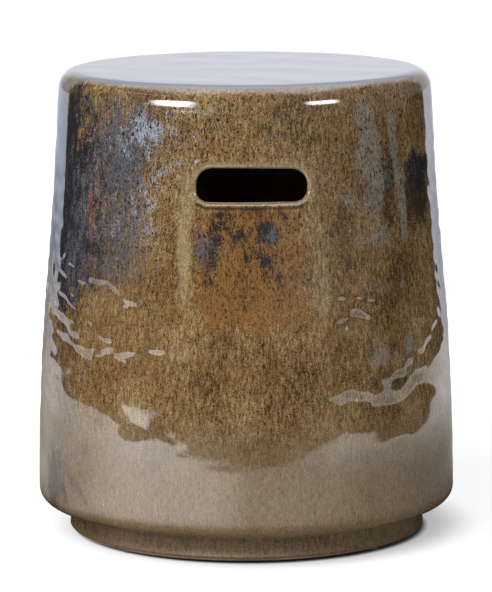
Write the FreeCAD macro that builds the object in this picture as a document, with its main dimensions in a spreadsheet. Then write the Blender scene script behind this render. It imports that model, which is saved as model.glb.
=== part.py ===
"""Hollow ceramic garden stool, luted together from thrown clay pieces.

A barrel wall carries a flat seat and stands on a base ring with a lower foot. Clay coils close
the two inside joints, a collar lines each of the two handholds, one coat of glaze covers the
outside and four felt pads lie under the foot.

Frame: +Z up, origin on the floor under the middle of the seat, front handhold towards -Y.
Lengths are millimetres, angles degrees. Radii and heights of the outer form are measured on the
outside of the glaze."""

import FreeCAD
import Part
import Sketcher
import math
import os
from enum import IntEnum

SIZES = {
    # Outer form
    "total_height": 450.0,
    "belly_radius": 202.7,
    "belly_curve": 2450.0,
    "waist_inset": 11.2,
    "waist_height": 260.0,
    "neck_inset": 22.5,
    "neck_curve": 3100.0,
    "seat_edge_radius": 18.0,
    "seat_land": 6.0,
    "shoulder_height": 29.0,
    "shoulder_edge_radius": 13.0,
    "base_land": 10.0,
    "foot_setback": 29.7,
    "foot_cove_radius": 4.0,
    # Thicknesses of the clay and of its glaze
    "glaze_thickness": 1.0,
    "wall_thickness": 10.0,
    "seat_thickness": 14.0,
    "base_thickness": 12.0,
    "base_ledge_reach": 17.0,
    "foot_wall": 17.0,
    "foot_edge_radius": 2.0,
    "bare_band": 0.6,
    "coil_radius": 9.0,
    # Handholds
    "slot_drop": 91.5,
    "slot_width": 102.0,
    "slot_height": 32.0,
    "slot_top_corner": 12.0,
    "slot_bottom_corner": 9.0,
    "collar_band": 9.0,
    "collar_proud": 1.2,
    "collar_step": 3.0,
    "collar_lip_radius": 4.5,
    "collar_back_radius": 3.0,
    # Floor pads
    "pad_radius": 6.0,
    "pad_thickness": 2.5,
    "first_pad_angle": 45.0,
}
PAD_COUNT = 4

SHEET_NAME = "Sizes"

# How near to the clear opening's outline an edge counts as lying on it.
CLEAR_TOLERANCE = 0.05


class EdgeEnd(IntEnum):
    """How a sketch numbers the two ends of an edge."""

    START = 1
    FINISH = 2


class SketchFrame(IntEnum):
    """How a sketch numbers its own origin and its upright axis."""

    ORIGIN_EDGE = -1
    ORIGIN_END = 1
    UPRIGHT_AXIS = -2


class Size:
    """A length that knows both its number and the sheet formula that drives it."""

    def __init__(self, value, formula):
        self.value = float(value)
        self.formula = formula

    def joined(self, other, sign, value):
        formula = other.formula if isinstance(other, Size) else repr(float(other))
        return Size(value, f"({self.formula} {sign} {formula})")

    def __add__(self, other):
        return self.joined(other, "+", self.value + number(other))

    def __sub__(self, other):
        return self.joined(other, "-", self.value - number(other))

    def __mul__(self, other):
        return self.joined(other, "*", self.value * number(other))

    def __truediv__(self, other):
        return self.joined(other, "/", self.value / number(other))

    def __neg__(self):
        return self * -1.0


def number(length):
    return length.value if isinstance(length, Size) else float(length)


AXIS = Size(0.0, "0")


def fill_sheet(document):
    """Writes each driving size to a cell with an alias and returns the sizes by name."""
    sheet = document.addObject("Spreadsheet::Sheet", SHEET_NAME)
    for row, (alias, value) in enumerate(SIZES.items(), start=1):
        sheet.set(f"A{row}", alias)
        sheet.set(f"B{row}", str(value))
        sheet.setAlias(f"B{row}", alias)
    document.recompute()
    return {alias: Size(value, f"{SHEET_NAME}.{alias}") for alias, value in SIZES.items()}


def origin_plane(body, role):
    """The body's own origin plane that has this role."""
    return next(item for item in body.Origin.OriginFeatures if item.Role == role)


def new_body(label):
    body = doc.addObject("PartDesign::Body", label)
    body.Label = label
    return body


class Line:
    """A straight step of an outline to the point (across, up)."""

    def __init__(self, across, up):
        self.point = (across, up)


class Arc:
    """A round step of an outline to the point (across, up); turn is +1 for anticlockwise travel."""

    def __init__(self, across, up, radius, turn):
        self.point = (across, up)
        self.radius = radius
        self.turn = turn

    def centre(self, start):
        """Centre of the arc that leaves start, on the side that the turn gives."""
        x0, y0 = start
        x1, y1 = (number(value) for value in self.point)
        chord = math.hypot(x1 - x0, y1 - y0)
        rise = math.sqrt(max(self.radius.value ** 2 - (chord / 2) ** 2, 0.0))
        left_x = -(y1 - y0) / chord
        left_y = (x1 - x0) / chord
        return (x0 + x1) / 2 + self.turn * rise * left_x, (y0 + y1) / 2 + self.turn * rise * left_y


def add_step(sketch, start, step):
    """Adds one line or arc and returns its number with the ends that lie at its start and finish."""
    finish = tuple(number(value) for value in step.point)
    if isinstance(step, Line):
        edge = Part.LineSegment(FreeCAD.Vector(*start, 0), FreeCAD.Vector(*finish, 0))
        return sketch.addGeometry(edge, False), EdgeEnd.START, EdgeEnd.FINISH
    centre_x, centre_y = step.centre(start)
    circle = Part.Circle(FreeCAD.Vector(centre_x, centre_y, 0), FreeCAD.Vector(0, 0, 1), step.radius.value)
    start_angle = math.atan2(start[1] - centre_y, start[0] - centre_x)
    finish_angle = math.atan2(finish[1] - centre_y, finish[0] - centre_x)
    if step.turn > 0:
        arc = Part.ArcOfCircle(circle, start_angle, finish_angle)
        return sketch.addGeometry(arc, False), EdgeEnd.START, EdgeEnd.FINISH
    arc = Part.ArcOfCircle(circle, finish_angle, start_angle)
    return sketch.addGeometry(arc, False), EdgeEnd.FINISH, EdgeEnd.START


def drive(sketch, constraint, formula):
    """Adds a constraint and binds its value to the sheet."""
    index = sketch.addConstraint(constraint)
    sketch.setExpression(f"Constraints[{index}]", formula)


def draw_outline(sketch, steps):
    """Draws a closed outline that passes the points of its steps in turn, ending on its first point."""
    origin = (SketchFrame.ORIGIN_EDGE, SketchFrame.ORIGIN_END)
    last = tuple(number(value) for value in steps[-1].point)
    placed = []
    for step in steps:
        placed.append((step, *add_step(sketch, last, step)))
        last = tuple(number(value) for value in step.point)
    for position, (step, edge, _, finish) in enumerate(placed):
        _, next_edge, next_start, _ = placed[(position + 1) % len(placed)]
        sketch.addConstraint(Sketcher.Constraint("Coincident", edge, finish, next_edge, next_start))
        across, up = step.point
        if number(across) == 0.0:
            sketch.addConstraint(Sketcher.Constraint("PointOnObject", edge, finish, SketchFrame.UPRIGHT_AXIS))
        else:
            across_rule = Sketcher.Constraint("DistanceX", *origin, edge, finish, across.value)
            drive(sketch, across_rule, across.formula)
        drive(sketch, Sketcher.Constraint("DistanceY", *origin, edge, finish, up.value), up.formula)
        if isinstance(step, Arc):
            radius_rule = Sketcher.Constraint("Radius", edge, step.radius.value)
            drive(sketch, radius_rule, step.radius.formula)


def outline_sketch(body, name, outlines):
    """A sketch on the body's XZ plane: across is world X, up is world Z."""
    sketch = body.newObject("Sketcher::SketchObject", name)
    sketch.AttachmentSupport = [(origin_plane(body, "XZ_Plane"), "")]
    sketch.MapMode = "FlatFace"
    for steps in outlines:
        draw_outline(sketch, steps)
    return sketch


def revolved(body, name, steps, kind="Revolution"):
    """Turns an outline once round the vertical axis, as added clay or as a groove."""
    sketch = outline_sketch(body, f"{name}_outline", [steps])
    feature = body.newObject(f"PartDesign::{kind}", name)
    feature.Profile = sketch
    feature.ReferenceAxis = (sketch, ["V_Axis"])
    feature.Angle = 360.0
    return feature


def rounded_slot(grown):
    """Outline of the handhold seen from the front, grown outwards all round by a length."""
    half = size["slot_width"] / 2 + grown
    middle = size["total_height"] - size["slot_drop"]
    top = middle + size["slot_height"] / 2 + grown
    bottom = middle - size["slot_height"] / 2 - grown
    top_corner = size["slot_top_corner"] + grown
    bottom_corner = size["slot_bottom_corner"] + grown
    return [
        Line(half - bottom_corner, bottom),
        Arc(half, bottom + bottom_corner, bottom_corner, 1),
        Line(half, top - top_corner),
        Arc(half - top_corner, top, top_corner, 1),
        Line(-(half - top_corner), top),
        Arc(-half, top - top_corner, top_corner, 1),
        Line(-half, bottom + bottom_corner),
        Arc(-(half - bottom_corner), bottom, bottom_corner, 1),
    ]


def cut_handholds(body):
    """Cuts the two opposite openings that the collars fill."""
    sketch = outline_sketch(body, "handhold_outline", [rounded_slot(size["collar_band"])])
    doc.recompute()
    before = body.Shape.Volume
    pocket = body.newObject("PartDesign::Pocket", "handholds")
    pocket.Profile = sketch
    pocket.Type = "ThroughAll"
    pocket.SideType = "Symmetric"
    doc.recompute()
    print(f"{body.Label}: handholds remove {(before - body.Shape.Volume) / 1000.0:.1f} cm3")


doc = FreeCAD.newDocument("garden_stool")
size = fill_sheet(doc)

# Heights and radii that several pieces share.
top = size["total_height"]
belly_radius = size["belly_radius"]
waist_radius = belly_radius - size["waist_inset"]
neck_radius = belly_radius - size["neck_inset"]
foot_radius = belly_radius - size["foot_setback"]
glaze = size["glaze_thickness"]
wall = size["wall_thickness"]
seat_edge = size["seat_edge_radius"]
shoulder_edge = size["shoulder_edge_radius"]
shoulder = size["shoulder_height"]
pad_top = size["pad_thickness"]
edge_start = top - seat_edge
seat_joint = edge_start - size["seat_land"]
edge_end = shoulder + shoulder_edge
base_joint = edge_end + size["base_land"]
seat_underside = top - glaze - size["seat_thickness"]
base_top = shoulder + glaze + size["base_thickness"]
clay_foot = foot_radius - glaze
foot_inside = clay_foot - size["foot_wall"]
base_opening = foot_inside - size["base_ledge_reach"]
foot_round_top = pad_top + size["foot_edge_radius"]
glaze_line = foot_round_top + size["bare_band"]
neck_inside = neck_radius - glaze - wall
belly_inside = belly_radius - glaze - wall


def wall_down(depth):
    """The barrel's profile at a depth below the glaze's outside, from the seat joint to the base joint."""
    return [
        Line(neck_radius - depth, seat_joint),
        Arc(waist_radius - depth, size["waist_height"], size["neck_curve"], 1),
        Arc(belly_radius - depth, base_joint, size["belly_curve"], -1),
    ]


def wall_up(depth):
    """The same profile drawn from the base joint to the seat joint."""
    return [
        Line(belly_radius - depth, base_joint),
        Arc(waist_radius - depth, size["waist_height"], size["belly_curve"], 1),
        Arc(neck_radius - depth, seat_joint, size["neck_curve"], -1),
    ]


def build_drum_wall():
    body = new_body("drum_wall")
    revolved(body, "drum", wall_down(glaze) + wall_up(glaze + wall))
    cut_handholds(body)
    return body


def build_seat_slab():
    """Flat seat with a short rim that stands on the wall's top edge."""
    body = new_body("seat_slab")
    revolved(body, "seat", [
        Line(AXIS, top - glaze),
        Line(neck_radius - seat_edge, top - glaze),
        Arc(neck_radius - glaze, edge_start, seat_edge - glaze, -1),
        Line(neck_radius - glaze, seat_joint),
        Line(neck_inside, seat_joint),
        Line(neck_inside, seat_underside),
        Line(AXIS, seat_underside),
    ])
    return body


def build_base_ring():
    """Ledge with a large opening and a short rim that carries the wall."""
    body = new_body("base_ring")
    revolved(body, "ledge", [
        Line(base_opening, shoulder + glaze),
        Line(belly_radius - shoulder_edge, shoulder + glaze),
        Arc(belly_radius - glaze, edge_end, shoulder_edge - glaze, 1),
        Line(belly_radius - glaze, base_joint),
        Line(belly_inside, base_joint),
        Line(belly_inside, base_top),
        Line(base_opening, base_top),
    ])
    return body


def build_foot_ring():
    """Upright ring under the base, rounded at its outer lower edge."""
    body = new_body("foot_ring")
    revolved(body, "foot", [
        Line(foot_inside, pad_top),
        Line(clay_foot - size["foot_edge_radius"], pad_top),
        Arc(clay_foot, foot_round_top, size["foot_edge_radius"], 1),
        Line(clay_foot, shoulder + glaze),
        Line(foot_inside, shoulder + glaze),
    ])
    return body


def build_coil(label, corner_radius, corner_height, up):
    """Clay coil in an inside corner, with a hollow face; up is +1 above a ledge and -1 below one."""
    body = new_body(label)
    reach = size["coil_radius"]
    revolved(body, "coil", [
        Line(corner_radius, corner_height),
        Line(corner_radius, corner_height + reach * up),
        Arc(corner_radius - reach, corner_height, reach, -up),
    ])
    return body


def build_glaze_coat():
    """One skin over the seat, round its edge, down the wall, under the shoulder and down the foot."""
    body = new_body("glaze_coat")
    seat_top = [
        Line(AXIS, top),
        Line(neck_radius - seat_edge, top),
        Arc(neck_radius, edge_start, seat_edge, -1),
    ]
    shoulder_and_foot = [
        Line(belly_radius, edge_end),
        Arc(belly_radius - shoulder_edge, shoulder, shoulder_edge, -1),
        Line(foot_radius + size["foot_cove_radius"], shoulder),
        Arc(foot_radius, shoulder - size["foot_cove_radius"], size["foot_cove_radius"], 1),
        Line(foot_radius, glaze_line),
    ]
    inner_foot_and_shoulder = [
        Line(clay_foot, glaze_line),
        Line(clay_foot, shoulder + glaze),
        Line(belly_radius - shoulder_edge, shoulder + glaze),
        Arc(belly_radius - glaze, edge_end, shoulder_edge - glaze, 1),
    ]
    inner_seat = [
        Line(neck_radius - glaze, edge_start),
        Arc(neck_radius - seat_edge, top - glaze, seat_edge - glaze, 1),
        Line(AXIS, top - glaze),
    ]
    outside = seat_top + wall_down(AXIS) + shoulder_and_foot
    revolved(body, "coat", outside + inner_foot_and_shoulder + wall_up(glaze) + inner_seat)
    cut_handholds(body)
    return body


def throat_edges(shape, outward):
    """Names of the edges round the handhold's clear opening, at its outer or at its inner end."""
    half = size["slot_width"].value / 2 + CLEAR_TOLERANCE
    middle = top.value - size["slot_drop"].value
    rise = size["slot_height"].value / 2 + CLEAR_TOLERANCE
    rim = []
    for position, edge in enumerate(shape.Edges, start=1):
        box = edge.BoundBox
        inside = box.XMax <= half and box.XMin >= -half and abs(box.Center.z - middle) + box.ZLength / 2 <= rise
        axial = box.XLength < CLEAR_TOLERANCE and box.ZLength < CLEAR_TOLERANCE
        if inside and not axial:
            point = edge.valueAt((edge.FirstParameter + edge.LastParameter) / 2)
            rim.append((math.hypot(point.x, point.y), f"Edge{position}"))
    halfway = sum(radius for radius, _ in rim) / len(rim)
    return [name for radius, name in rim if (radius > halfway) == outward]


def round_throat(body, name, radius_name, outward):
    """Rounds one end of the clear opening."""
    doc.recompute()
    base = body.Tip
    fillet = body.newObject("PartDesign::Fillet", name)
    fillet.Base = (base, throat_edges(base.Shape, outward))
    fillet.setExpression("Radius", size[radius_name].formula)


def build_collar(label, at_rear):
    """Ring of clay that lines a handhold, curved like the wall, a little proud outside and inside."""
    body = new_body(label)
    reach = neck_radius + waist_radius
    outlines = [rounded_slot(size["collar_band"]), rounded_slot(AXIS)]
    sketch = outline_sketch(body, "ring_outline", outlines)
    pad = body.newObject("PartDesign::Pad", "ring")
    pad.Profile = sketch
    pad.setExpression("Length", reach.formula)
    pad.Reversed = at_rear
    far = reach + size["slot_width"]
    outer_trim = wall_up(-size["collar_proud"]) + [Line(far, seat_joint), Line(far, base_joint)]
    inner_depth = glaze + wall + size["collar_step"]
    inner_trim = wall_up(inner_depth) + [Line(AXIS, seat_joint), Line(AXIS, base_joint)]
    for name, steps in (("outer_trim", outer_trim), ("inner_trim", inner_trim)):
        doc.recompute()
        before = body.Shape.Volume
        revolved(body, name, steps, "Groove")
        doc.recompute()
        print(f"{label}: {name} removes {(before - body.Shape.Volume) / 1000.0:.1f} cm3")
    round_throat(body, "mouth_round", "collar_lip_radius", True)
    round_throat(body, "back_round", "collar_back_radius", False)
    return body


def build_floor_pad(index):
    """Felt disc stuck under the foot, one of an evenly spaced set."""
    pad = doc.addObject("Part::Cylinder", f"floor_pad_{index + 1}")
    pad.Label = f"floor_pad_{index + 1}"
    reach = foot_inside + size["foot_wall"] / 2
    angle = f"({size['first_pad_angle'].formula} + {360.0 / PAD_COUNT * index})"
    pad.setExpression("Radius", size["pad_radius"].formula)
    pad.setExpression("Height", pad_top.formula)
    pad.setExpression("Placement.Base.x", f"{reach.formula} * cos({angle})")
    pad.setExpression("Placement.Base.y", f"{reach.formula} * sin({angle})")
    return pad


pieces = [
    build_drum_wall(),
    build_seat_slab(),
    build_coil("seat_joint_coil", neck_inside, seat_underside, -1),
    build_base_ring(),
    build_coil("base_joint_coil", belly_inside, base_top, 1),
    build_foot_ring(),
    build_collar("front_collar", False),
    build_collar("rear_collar", True),
    build_glaze_coat(),
]
pieces += [build_floor_pad(index) for index in range(PAD_COUNT)]
doc.recompute()

for item in doc.Objects:
    if "Invalid" in item.State or "Error" in item.State:
        raise RuntimeError(f"{item.Label} did not rebuild: {item.State}")
for piece in pieces:
    if piece.Shape.isNull() or not piece.Shape.isValid() or len(piece.Shape.Solids) != 1:
        raise RuntimeError(f"{piece.Label} is not one valid solid")

os.makedirs("parts", exist_ok=True)
for piece in pieces:
    piece.Shape.exportStep(f"parts/{piece.Label}.step")
    box = piece.Shape.BoundBox
    print(f"{piece.Label}: {piece.Shape.Volume / 1000.0:.1f} cm3, z {box.ZMin:.2f} to {box.ZMax:.2f}")
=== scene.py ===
"""Ceramic garden stool: fired glaze, thrown clay and felt pads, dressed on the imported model.

Lengths are metres. Angles round the drum start at the front handhold, on the -Y side, and grow towards +X.
Heights are counted from the floor.
"""

import logging
import math
from dataclasses import dataclass, field
from enum import Enum

import bpy
import numpy as np
from mathutils import Matrix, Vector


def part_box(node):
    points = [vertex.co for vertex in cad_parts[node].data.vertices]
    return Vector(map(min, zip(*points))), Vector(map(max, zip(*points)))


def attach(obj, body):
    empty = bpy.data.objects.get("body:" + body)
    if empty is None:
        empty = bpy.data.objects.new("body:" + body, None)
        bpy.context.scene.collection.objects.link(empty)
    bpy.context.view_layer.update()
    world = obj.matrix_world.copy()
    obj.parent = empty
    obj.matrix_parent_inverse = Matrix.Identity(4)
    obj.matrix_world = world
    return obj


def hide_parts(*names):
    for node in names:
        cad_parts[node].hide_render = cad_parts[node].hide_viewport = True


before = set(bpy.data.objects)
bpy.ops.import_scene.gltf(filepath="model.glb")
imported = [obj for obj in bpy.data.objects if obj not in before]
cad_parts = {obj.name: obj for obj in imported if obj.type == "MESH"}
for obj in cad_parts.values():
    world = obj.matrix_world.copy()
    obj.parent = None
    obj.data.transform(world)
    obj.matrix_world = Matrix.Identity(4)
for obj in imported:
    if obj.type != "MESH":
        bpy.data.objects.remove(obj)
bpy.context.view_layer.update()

LOG = logging.getLogger("garden_stool")
BODY = "root"
MM = 0.001
TURN = 2.0 * math.pi
REAR_SHIFT = 0.06

Array = np.ndarray
Point = tuple[float, float]
Colour = tuple[float, float, float]
Spot = tuple[float, float, float]
Piece = bpy.types.Object
Material = bpy.types.Material
Socket = bpy.types.NodeSocket


class Slot(Enum):
    """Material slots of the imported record."""

    GLAZE = "glaze"
    CLAY = "clay"
    FELT = "felt"


class Side(Enum):
    """The two faces of the drum that have a handhold, by the angle of the handhold's middle."""

    FRONT = 0.0
    REAR = math.pi


# Shape helpers.


def ease(value: Array, low: float, high: float) -> Array:
    """Smooth step from 0 at low to 1 at high, either of which may be the greater."""
    share = np.clip((value - low) / (high - low), 0.0, 1.0)
    return share * share * (3.0 - 2.0 * share)


def nearest_turn(angle: Array, middle: float) -> Array:
    """Signed angle from middle to angle, wrapped to half a turn each way."""
    return (angle - middle + math.pi) % TURN - math.pi


def rear_twin(angle: Array) -> Array:
    """Angle on the front face that the rear face copies: mirrored about the drum's side and shifted."""
    return math.pi - angle + REAR_SHIFT


def line(start: Point, end: Point, spacing: float) -> Array:
    """Evenly spaced points from start up to, and without, end.

    Args:
        start: First point, as radius and height.
        end: Point that the next run starts with.
        spacing: Longest step.

    Returns:
        Array of points, one row each.
    """
    count = max(1, math.ceil(math.dist(start, end) / spacing))
    share = np.arange(count)[:, None] / count
    return np.array(start) * (1.0 - share) + np.array(end) * share


def arc(centre: Point, radius: float, first: float, last: float, count: int) -> Array:
    """Points on a circle: the centre plus radius times cosine and sine, up to and without the last angle.

    Args:
        centre: Centre, as radius and height.
        radius: Radius of the arc.
        first: First angle in degrees, 0 along the growing radius and 90 upwards.
        last: Last angle in degrees.
        count: Number of steps.

    Returns:
        Array of points, one row each.
    """
    angle = np.radians(first + (last - first) * np.arange(count) / count)
    return np.stack([centre[0] + radius * np.cos(angle), centre[1] + radius * np.sin(angle)], axis=1)


def side_normals(profile: Array) -> Array:
    """Unit normals of a profile that runs outwards and down: its direction turned left by a quarter turn.

    Args:
        profile: Points as radius and height.

    Returns:
        Array of normals, one row for each point.
    """
    along = np.gradient(profile, axis=0)
    normal = np.stack([-along[:, 1], along[:, 0]], axis=1)
    return normal / np.maximum(np.linalg.norm(normal, axis=1, keepdims=True), 1e-12)


def spin(profile: Array, columns: int) -> Array:
    """Turns a profile round the vertical axis: x is radius times sine, y is minus radius times cosine.

    Args:
        profile: Points as radius and height.
        columns: Number of steps in the full turn.

    Returns:
        Array of rows by columns by 3.
    """
    angle = np.arange(columns) * TURN / columns
    x = profile[:, :1] * np.sin(angle)
    y = -profile[:, :1] * np.cos(angle)
    return np.stack([x, y, np.broadcast_to(profile[:, 1:], x.shape)], axis=2)


def grid_quads(rows: int, columns: int, closed: bool = False) -> Array:
    """Faces of a grid that closes round its columns, wound so that a grid running down faces outwards.

    Args:
        rows: Number of rows.
        columns: Number of columns.
        closed: Whether the last row joins the first.

    Returns:
        Array of four vertex numbers a face, as rows by columns by 4.
    """
    last = rows if closed else rows - 1
    row = np.arange(last)[:, None]
    column = np.arange(columns)[None, :]
    below, right = (row + 1) % rows, (column + 1) % columns
    upper, lower = row * columns, below * columns
    corners = [upper + column, lower + column, lower + right, upper + right]
    return np.stack(np.broadcast_arrays(*corners), axis=2)


def strip_quads(outer: Array, inner: Array) -> Array:
    """Faces between two closed loops of as many vertices, the outer one running against the clock."""
    return np.stack([outer, np.roll(outer, -1), np.roll(inner, -1), inner], axis=1)


def fan(hub: int, ring: Array) -> Array:
    """Triangles from a hub to each step of a closed ring."""
    return np.stack([np.full(len(ring), hub), ring, np.roll(ring, -1)], axis=1)


def lay_mesh(name: str, points: Array, quads: Array, triangles: Array | None = None) -> Piece:
    """Puts a surface into a new smooth mesh object at the origin, without the points that no face uses.

    Args:
        name: Name of the piece.
        points: Vertices, one row each.
        quads: Four vertex numbers a face.
        triangles: Three vertex numbers a face.

    Returns:
        The new object.
    """
    quads = quads.reshape(-1, 4)
    triangles = np.zeros((0, 3), int) if triangles is None else triangles
    used, packed = np.unique(np.concatenate([quads.ravel(), triangles.ravel()]), return_inverse=True)
    faces = packed[: quads.size].reshape(-1, 4).tolist() + packed[quads.size :].reshape(-1, 3).tolist()
    mesh = bpy.data.meshes.new(name)
    mesh.from_pydata(points[used].tolist(), [], faces)
    mesh.shade_smooth()
    mesh.validate()
    mesh.update()
    piece = bpy.data.objects.new(name, mesh)
    bpy.context.scene.collection.objects.link(piece)
    return piece


def lay_capped(name: str, rings: Array, hubs: Array) -> Piece:
    """Lays a turned piece whose first and last ring close on a hub each.

    Args:
        name: Name of the piece.
        rings: Points as rows by columns by 3.
        hubs: Hub of the first ring and hub of the last one.

    Returns:
        The new object.
    """
    rows, columns = rings.shape[:2]
    count, ring = rows * columns, np.arange(columns)
    caps = np.concatenate([fan(count, ring), fan(count + 1, ring[::-1] + count - columns)])
    return lay_mesh(name, np.concatenate([rings.reshape(-1, 3), hubs]), grid_quads(rows, columns), caps)


def points_of(piece: Piece) -> Array:
    """Reads a mesh piece's vertices.

    Args:
        piece: Mesh object.

    Returns:
        Array of points, one row each.
    """
    flat = np.empty(len(piece.data.vertices) * 3)
    piece.data.vertices.foreach_get("co", flat)
    return flat.reshape(-1, 3)


def write_weights(piece: Piece, weights: dict[str, Array]) -> None:
    """Stores one number a vertex under each name, for the materials to read.

    Args:
        piece: Mesh object.
        weights: Numbers for each attribute name.
    """
    for name, values in weights.items():
        attribute = piece.data.attributes.new(name, "FLOAT", "POINT")
        attribute.data.foreach_set("value", values.astype(np.float32))


@dataclass(frozen=True)
class WaveField:
    """Unevenness of unit spread: a sum of plane cosine waves with seeded lengths, headings and phases."""

    shortest: float
    longest: float
    lean: float
    spread: float
    seed: int
    count: int = 28

    def waves(self) -> tuple[Array, Array, Array]:
        """Draws the waves.

        Returns:
            Wave numbers across and up, in radians a metre, and phases.
        """
        rng = np.random.default_rng(self.seed)
        length = self.shortest * (self.longest / self.shortest) ** rng.random(self.count)
        heading = np.radians(self.lean + self.spread * rng.uniform(-1.0, 1.0, self.count))
        phase = rng.uniform(0.0, TURN, self.count)
        return TURN / length * np.cos(heading), TURN / length * np.sin(heading), phase

    def total(self, across: Array, up: Array, first: Array, second: Array, phase: Array) -> Array:
        """Sum of the cosines of first times across, plus second times up, plus phase, of unit spread."""
        heights = sum(np.cos(a * across + b * up + c) for a, b, c in zip(first, second, phase))
        return heights * math.sqrt(2.0 / self.count)

    def on_wall(self, angle: Array, height: Array, radius: float = 0.192) -> Array:
        """Waves on the drum: the wave number round it is a whole number, so that the field closes."""
        first, second, phase = self.waves()
        return self.total(angle, height, np.round(first * radius), second, phase)

    def on_plane(self, x: Array, y: Array) -> Array:
        """Waves on a level face."""
        return self.total(x, y, *self.waves())


@dataclass(frozen=True)
class Patch:
    """Soft patch on the drum: e to the minus a power of distance over half size (2 round, 4 boxy)."""

    angle: float
    height: float
    half_angle: float
    half_height: float
    strength: float = 1.0
    power: float = 2.0
    lean: float = 0.0

    def weigh(self, angle: Array, height: Array) -> Array:
        """Weight of the patch.

        Args:
            angle: Angles round the drum, in radians.
            height: Heights, in metres.

        Returns:
            Numbers from 0 to the patch's strength.
        """
        up = (height / MM - self.height) / self.half_height
        middle = self.angle + self.lean * up
        across = np.degrees(nearest_turn(angle - np.radians(middle), 0.0)) / self.half_angle
        return self.strength * np.exp(-np.abs(across) ** self.power - np.abs(up) ** self.power)


@dataclass(frozen=True)
class Tilt:
    """Soft tilt of the wall: slope times the height over its middle, which fades out at its half sizes."""

    angle: float
    height: float
    half_angle: float
    half_height: float
    slope: float
    climb: float = 0.0

    def rise(self, angle: Array, height: Array) -> Array:
        """Height of the tilted place over the even wall.

        Args:
            angle: Angles round the drum, in radians.
            height: Heights, in metres.

        Returns:
            Heights in metres.
        """
        across = np.degrees(nearest_turn(angle, math.radians(self.angle)))
        up = height / MM - self.height - self.climb * across
        fade = np.exp(-((across / self.half_angle) ** 4)) * (1.0 + (up / self.half_height) ** 2) ** -1.5
        return self.slope * up * MM * fade


# Forms.


@dataclass(frozen=True)
class DrumForm:
    """Outside of the glazed drum, from the seat's middle to the glaze line of the foot."""

    total_height: float = 450 * MM
    edge_radius: float = 18 * MM
    edge_height: float = 432 * MM
    neck_height: float = 426 * MM
    neck_radius: float = 180.2 * MM
    waist_height: float = 260 * MM
    waist_radius: float = 191.5 * MM
    belly_height: float = 52 * MM
    belly_radius: float = 202.7 * MM
    belly_curve: float = 2450 * MM
    neck_curve: float = 3100 * MM
    shoulder_top: float = 42 * MM
    shoulder_radius: float = 13 * MM
    foot_radius: float = 173 * MM
    cove_radius: float = 4 * MM
    glaze_line: float = 5.1 * MM

    def wall_radius(self, height: Array) -> Array:
        """Radius of the wall: a circle from belly to waist, bulging out, then one to the neck, bulging in.

        Args:
            height: Heights.

        Returns:
            Radius at each height.
        """
        belly = (self.belly_height, self.belly_radius)
        waist = (self.waist_height, self.waist_radius)
        low = self.bow(height, *belly, *waist, self.belly_curve)
        high = self.bow(height, *waist, self.neck_height, self.neck_radius, -self.neck_curve)
        wall = np.where(height < self.waist_height, low, high)
        wall = np.where(height < self.belly_height, self.belly_radius, wall)
        return np.where(height > self.neck_height, self.neck_radius, wall)

    @staticmethod
    def bow(height: Array, z0: float, r0: float, z1: float, r1: float, curve: float) -> Array:
        """Radius on the circle through two points, whose centre lies on their middle normal.

        Args:
            height: Heights.
            z0: Lower point's height.
            r0: Lower point's radius.
            z1: Upper point's height.
            r1: Upper point's radius.
            curve: Radius of the circle, positive where it bulges outwards.

        Returns:
            Radius at each height.
        """
        chord = math.hypot(z1 - z0, r1 - r0)
        back = math.sqrt(curve * curve - chord * chord / 4.0) * math.copysign(1.0, curve)
        centre_r = (r0 + r1) / 2.0 - back * (z1 - z0) / chord
        centre_z = (z0 + z1) / 2.0 - back * (r0 - r1) / chord
        reach = np.sqrt(np.maximum(curve * curve - (height - centre_z) ** 2, 0.0))
        return centre_r + math.copysign(1.0, curve) * reach

    def wall_run(self, top: float, bottom: float, spacing: float) -> Array:
        """Wall points from top down to, and without, bottom.

        Args:
            top: First height.
            bottom: Height that the next run starts with.
            spacing: Longest step.

        Returns:
            Points as radius and height.
        """
        count = max(1, math.ceil((top - bottom) / spacing - 1e-6))
        height = top + (bottom - top) * np.arange(count) / count
        return np.stack([self.wall_radius(height), height], axis=1)


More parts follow.
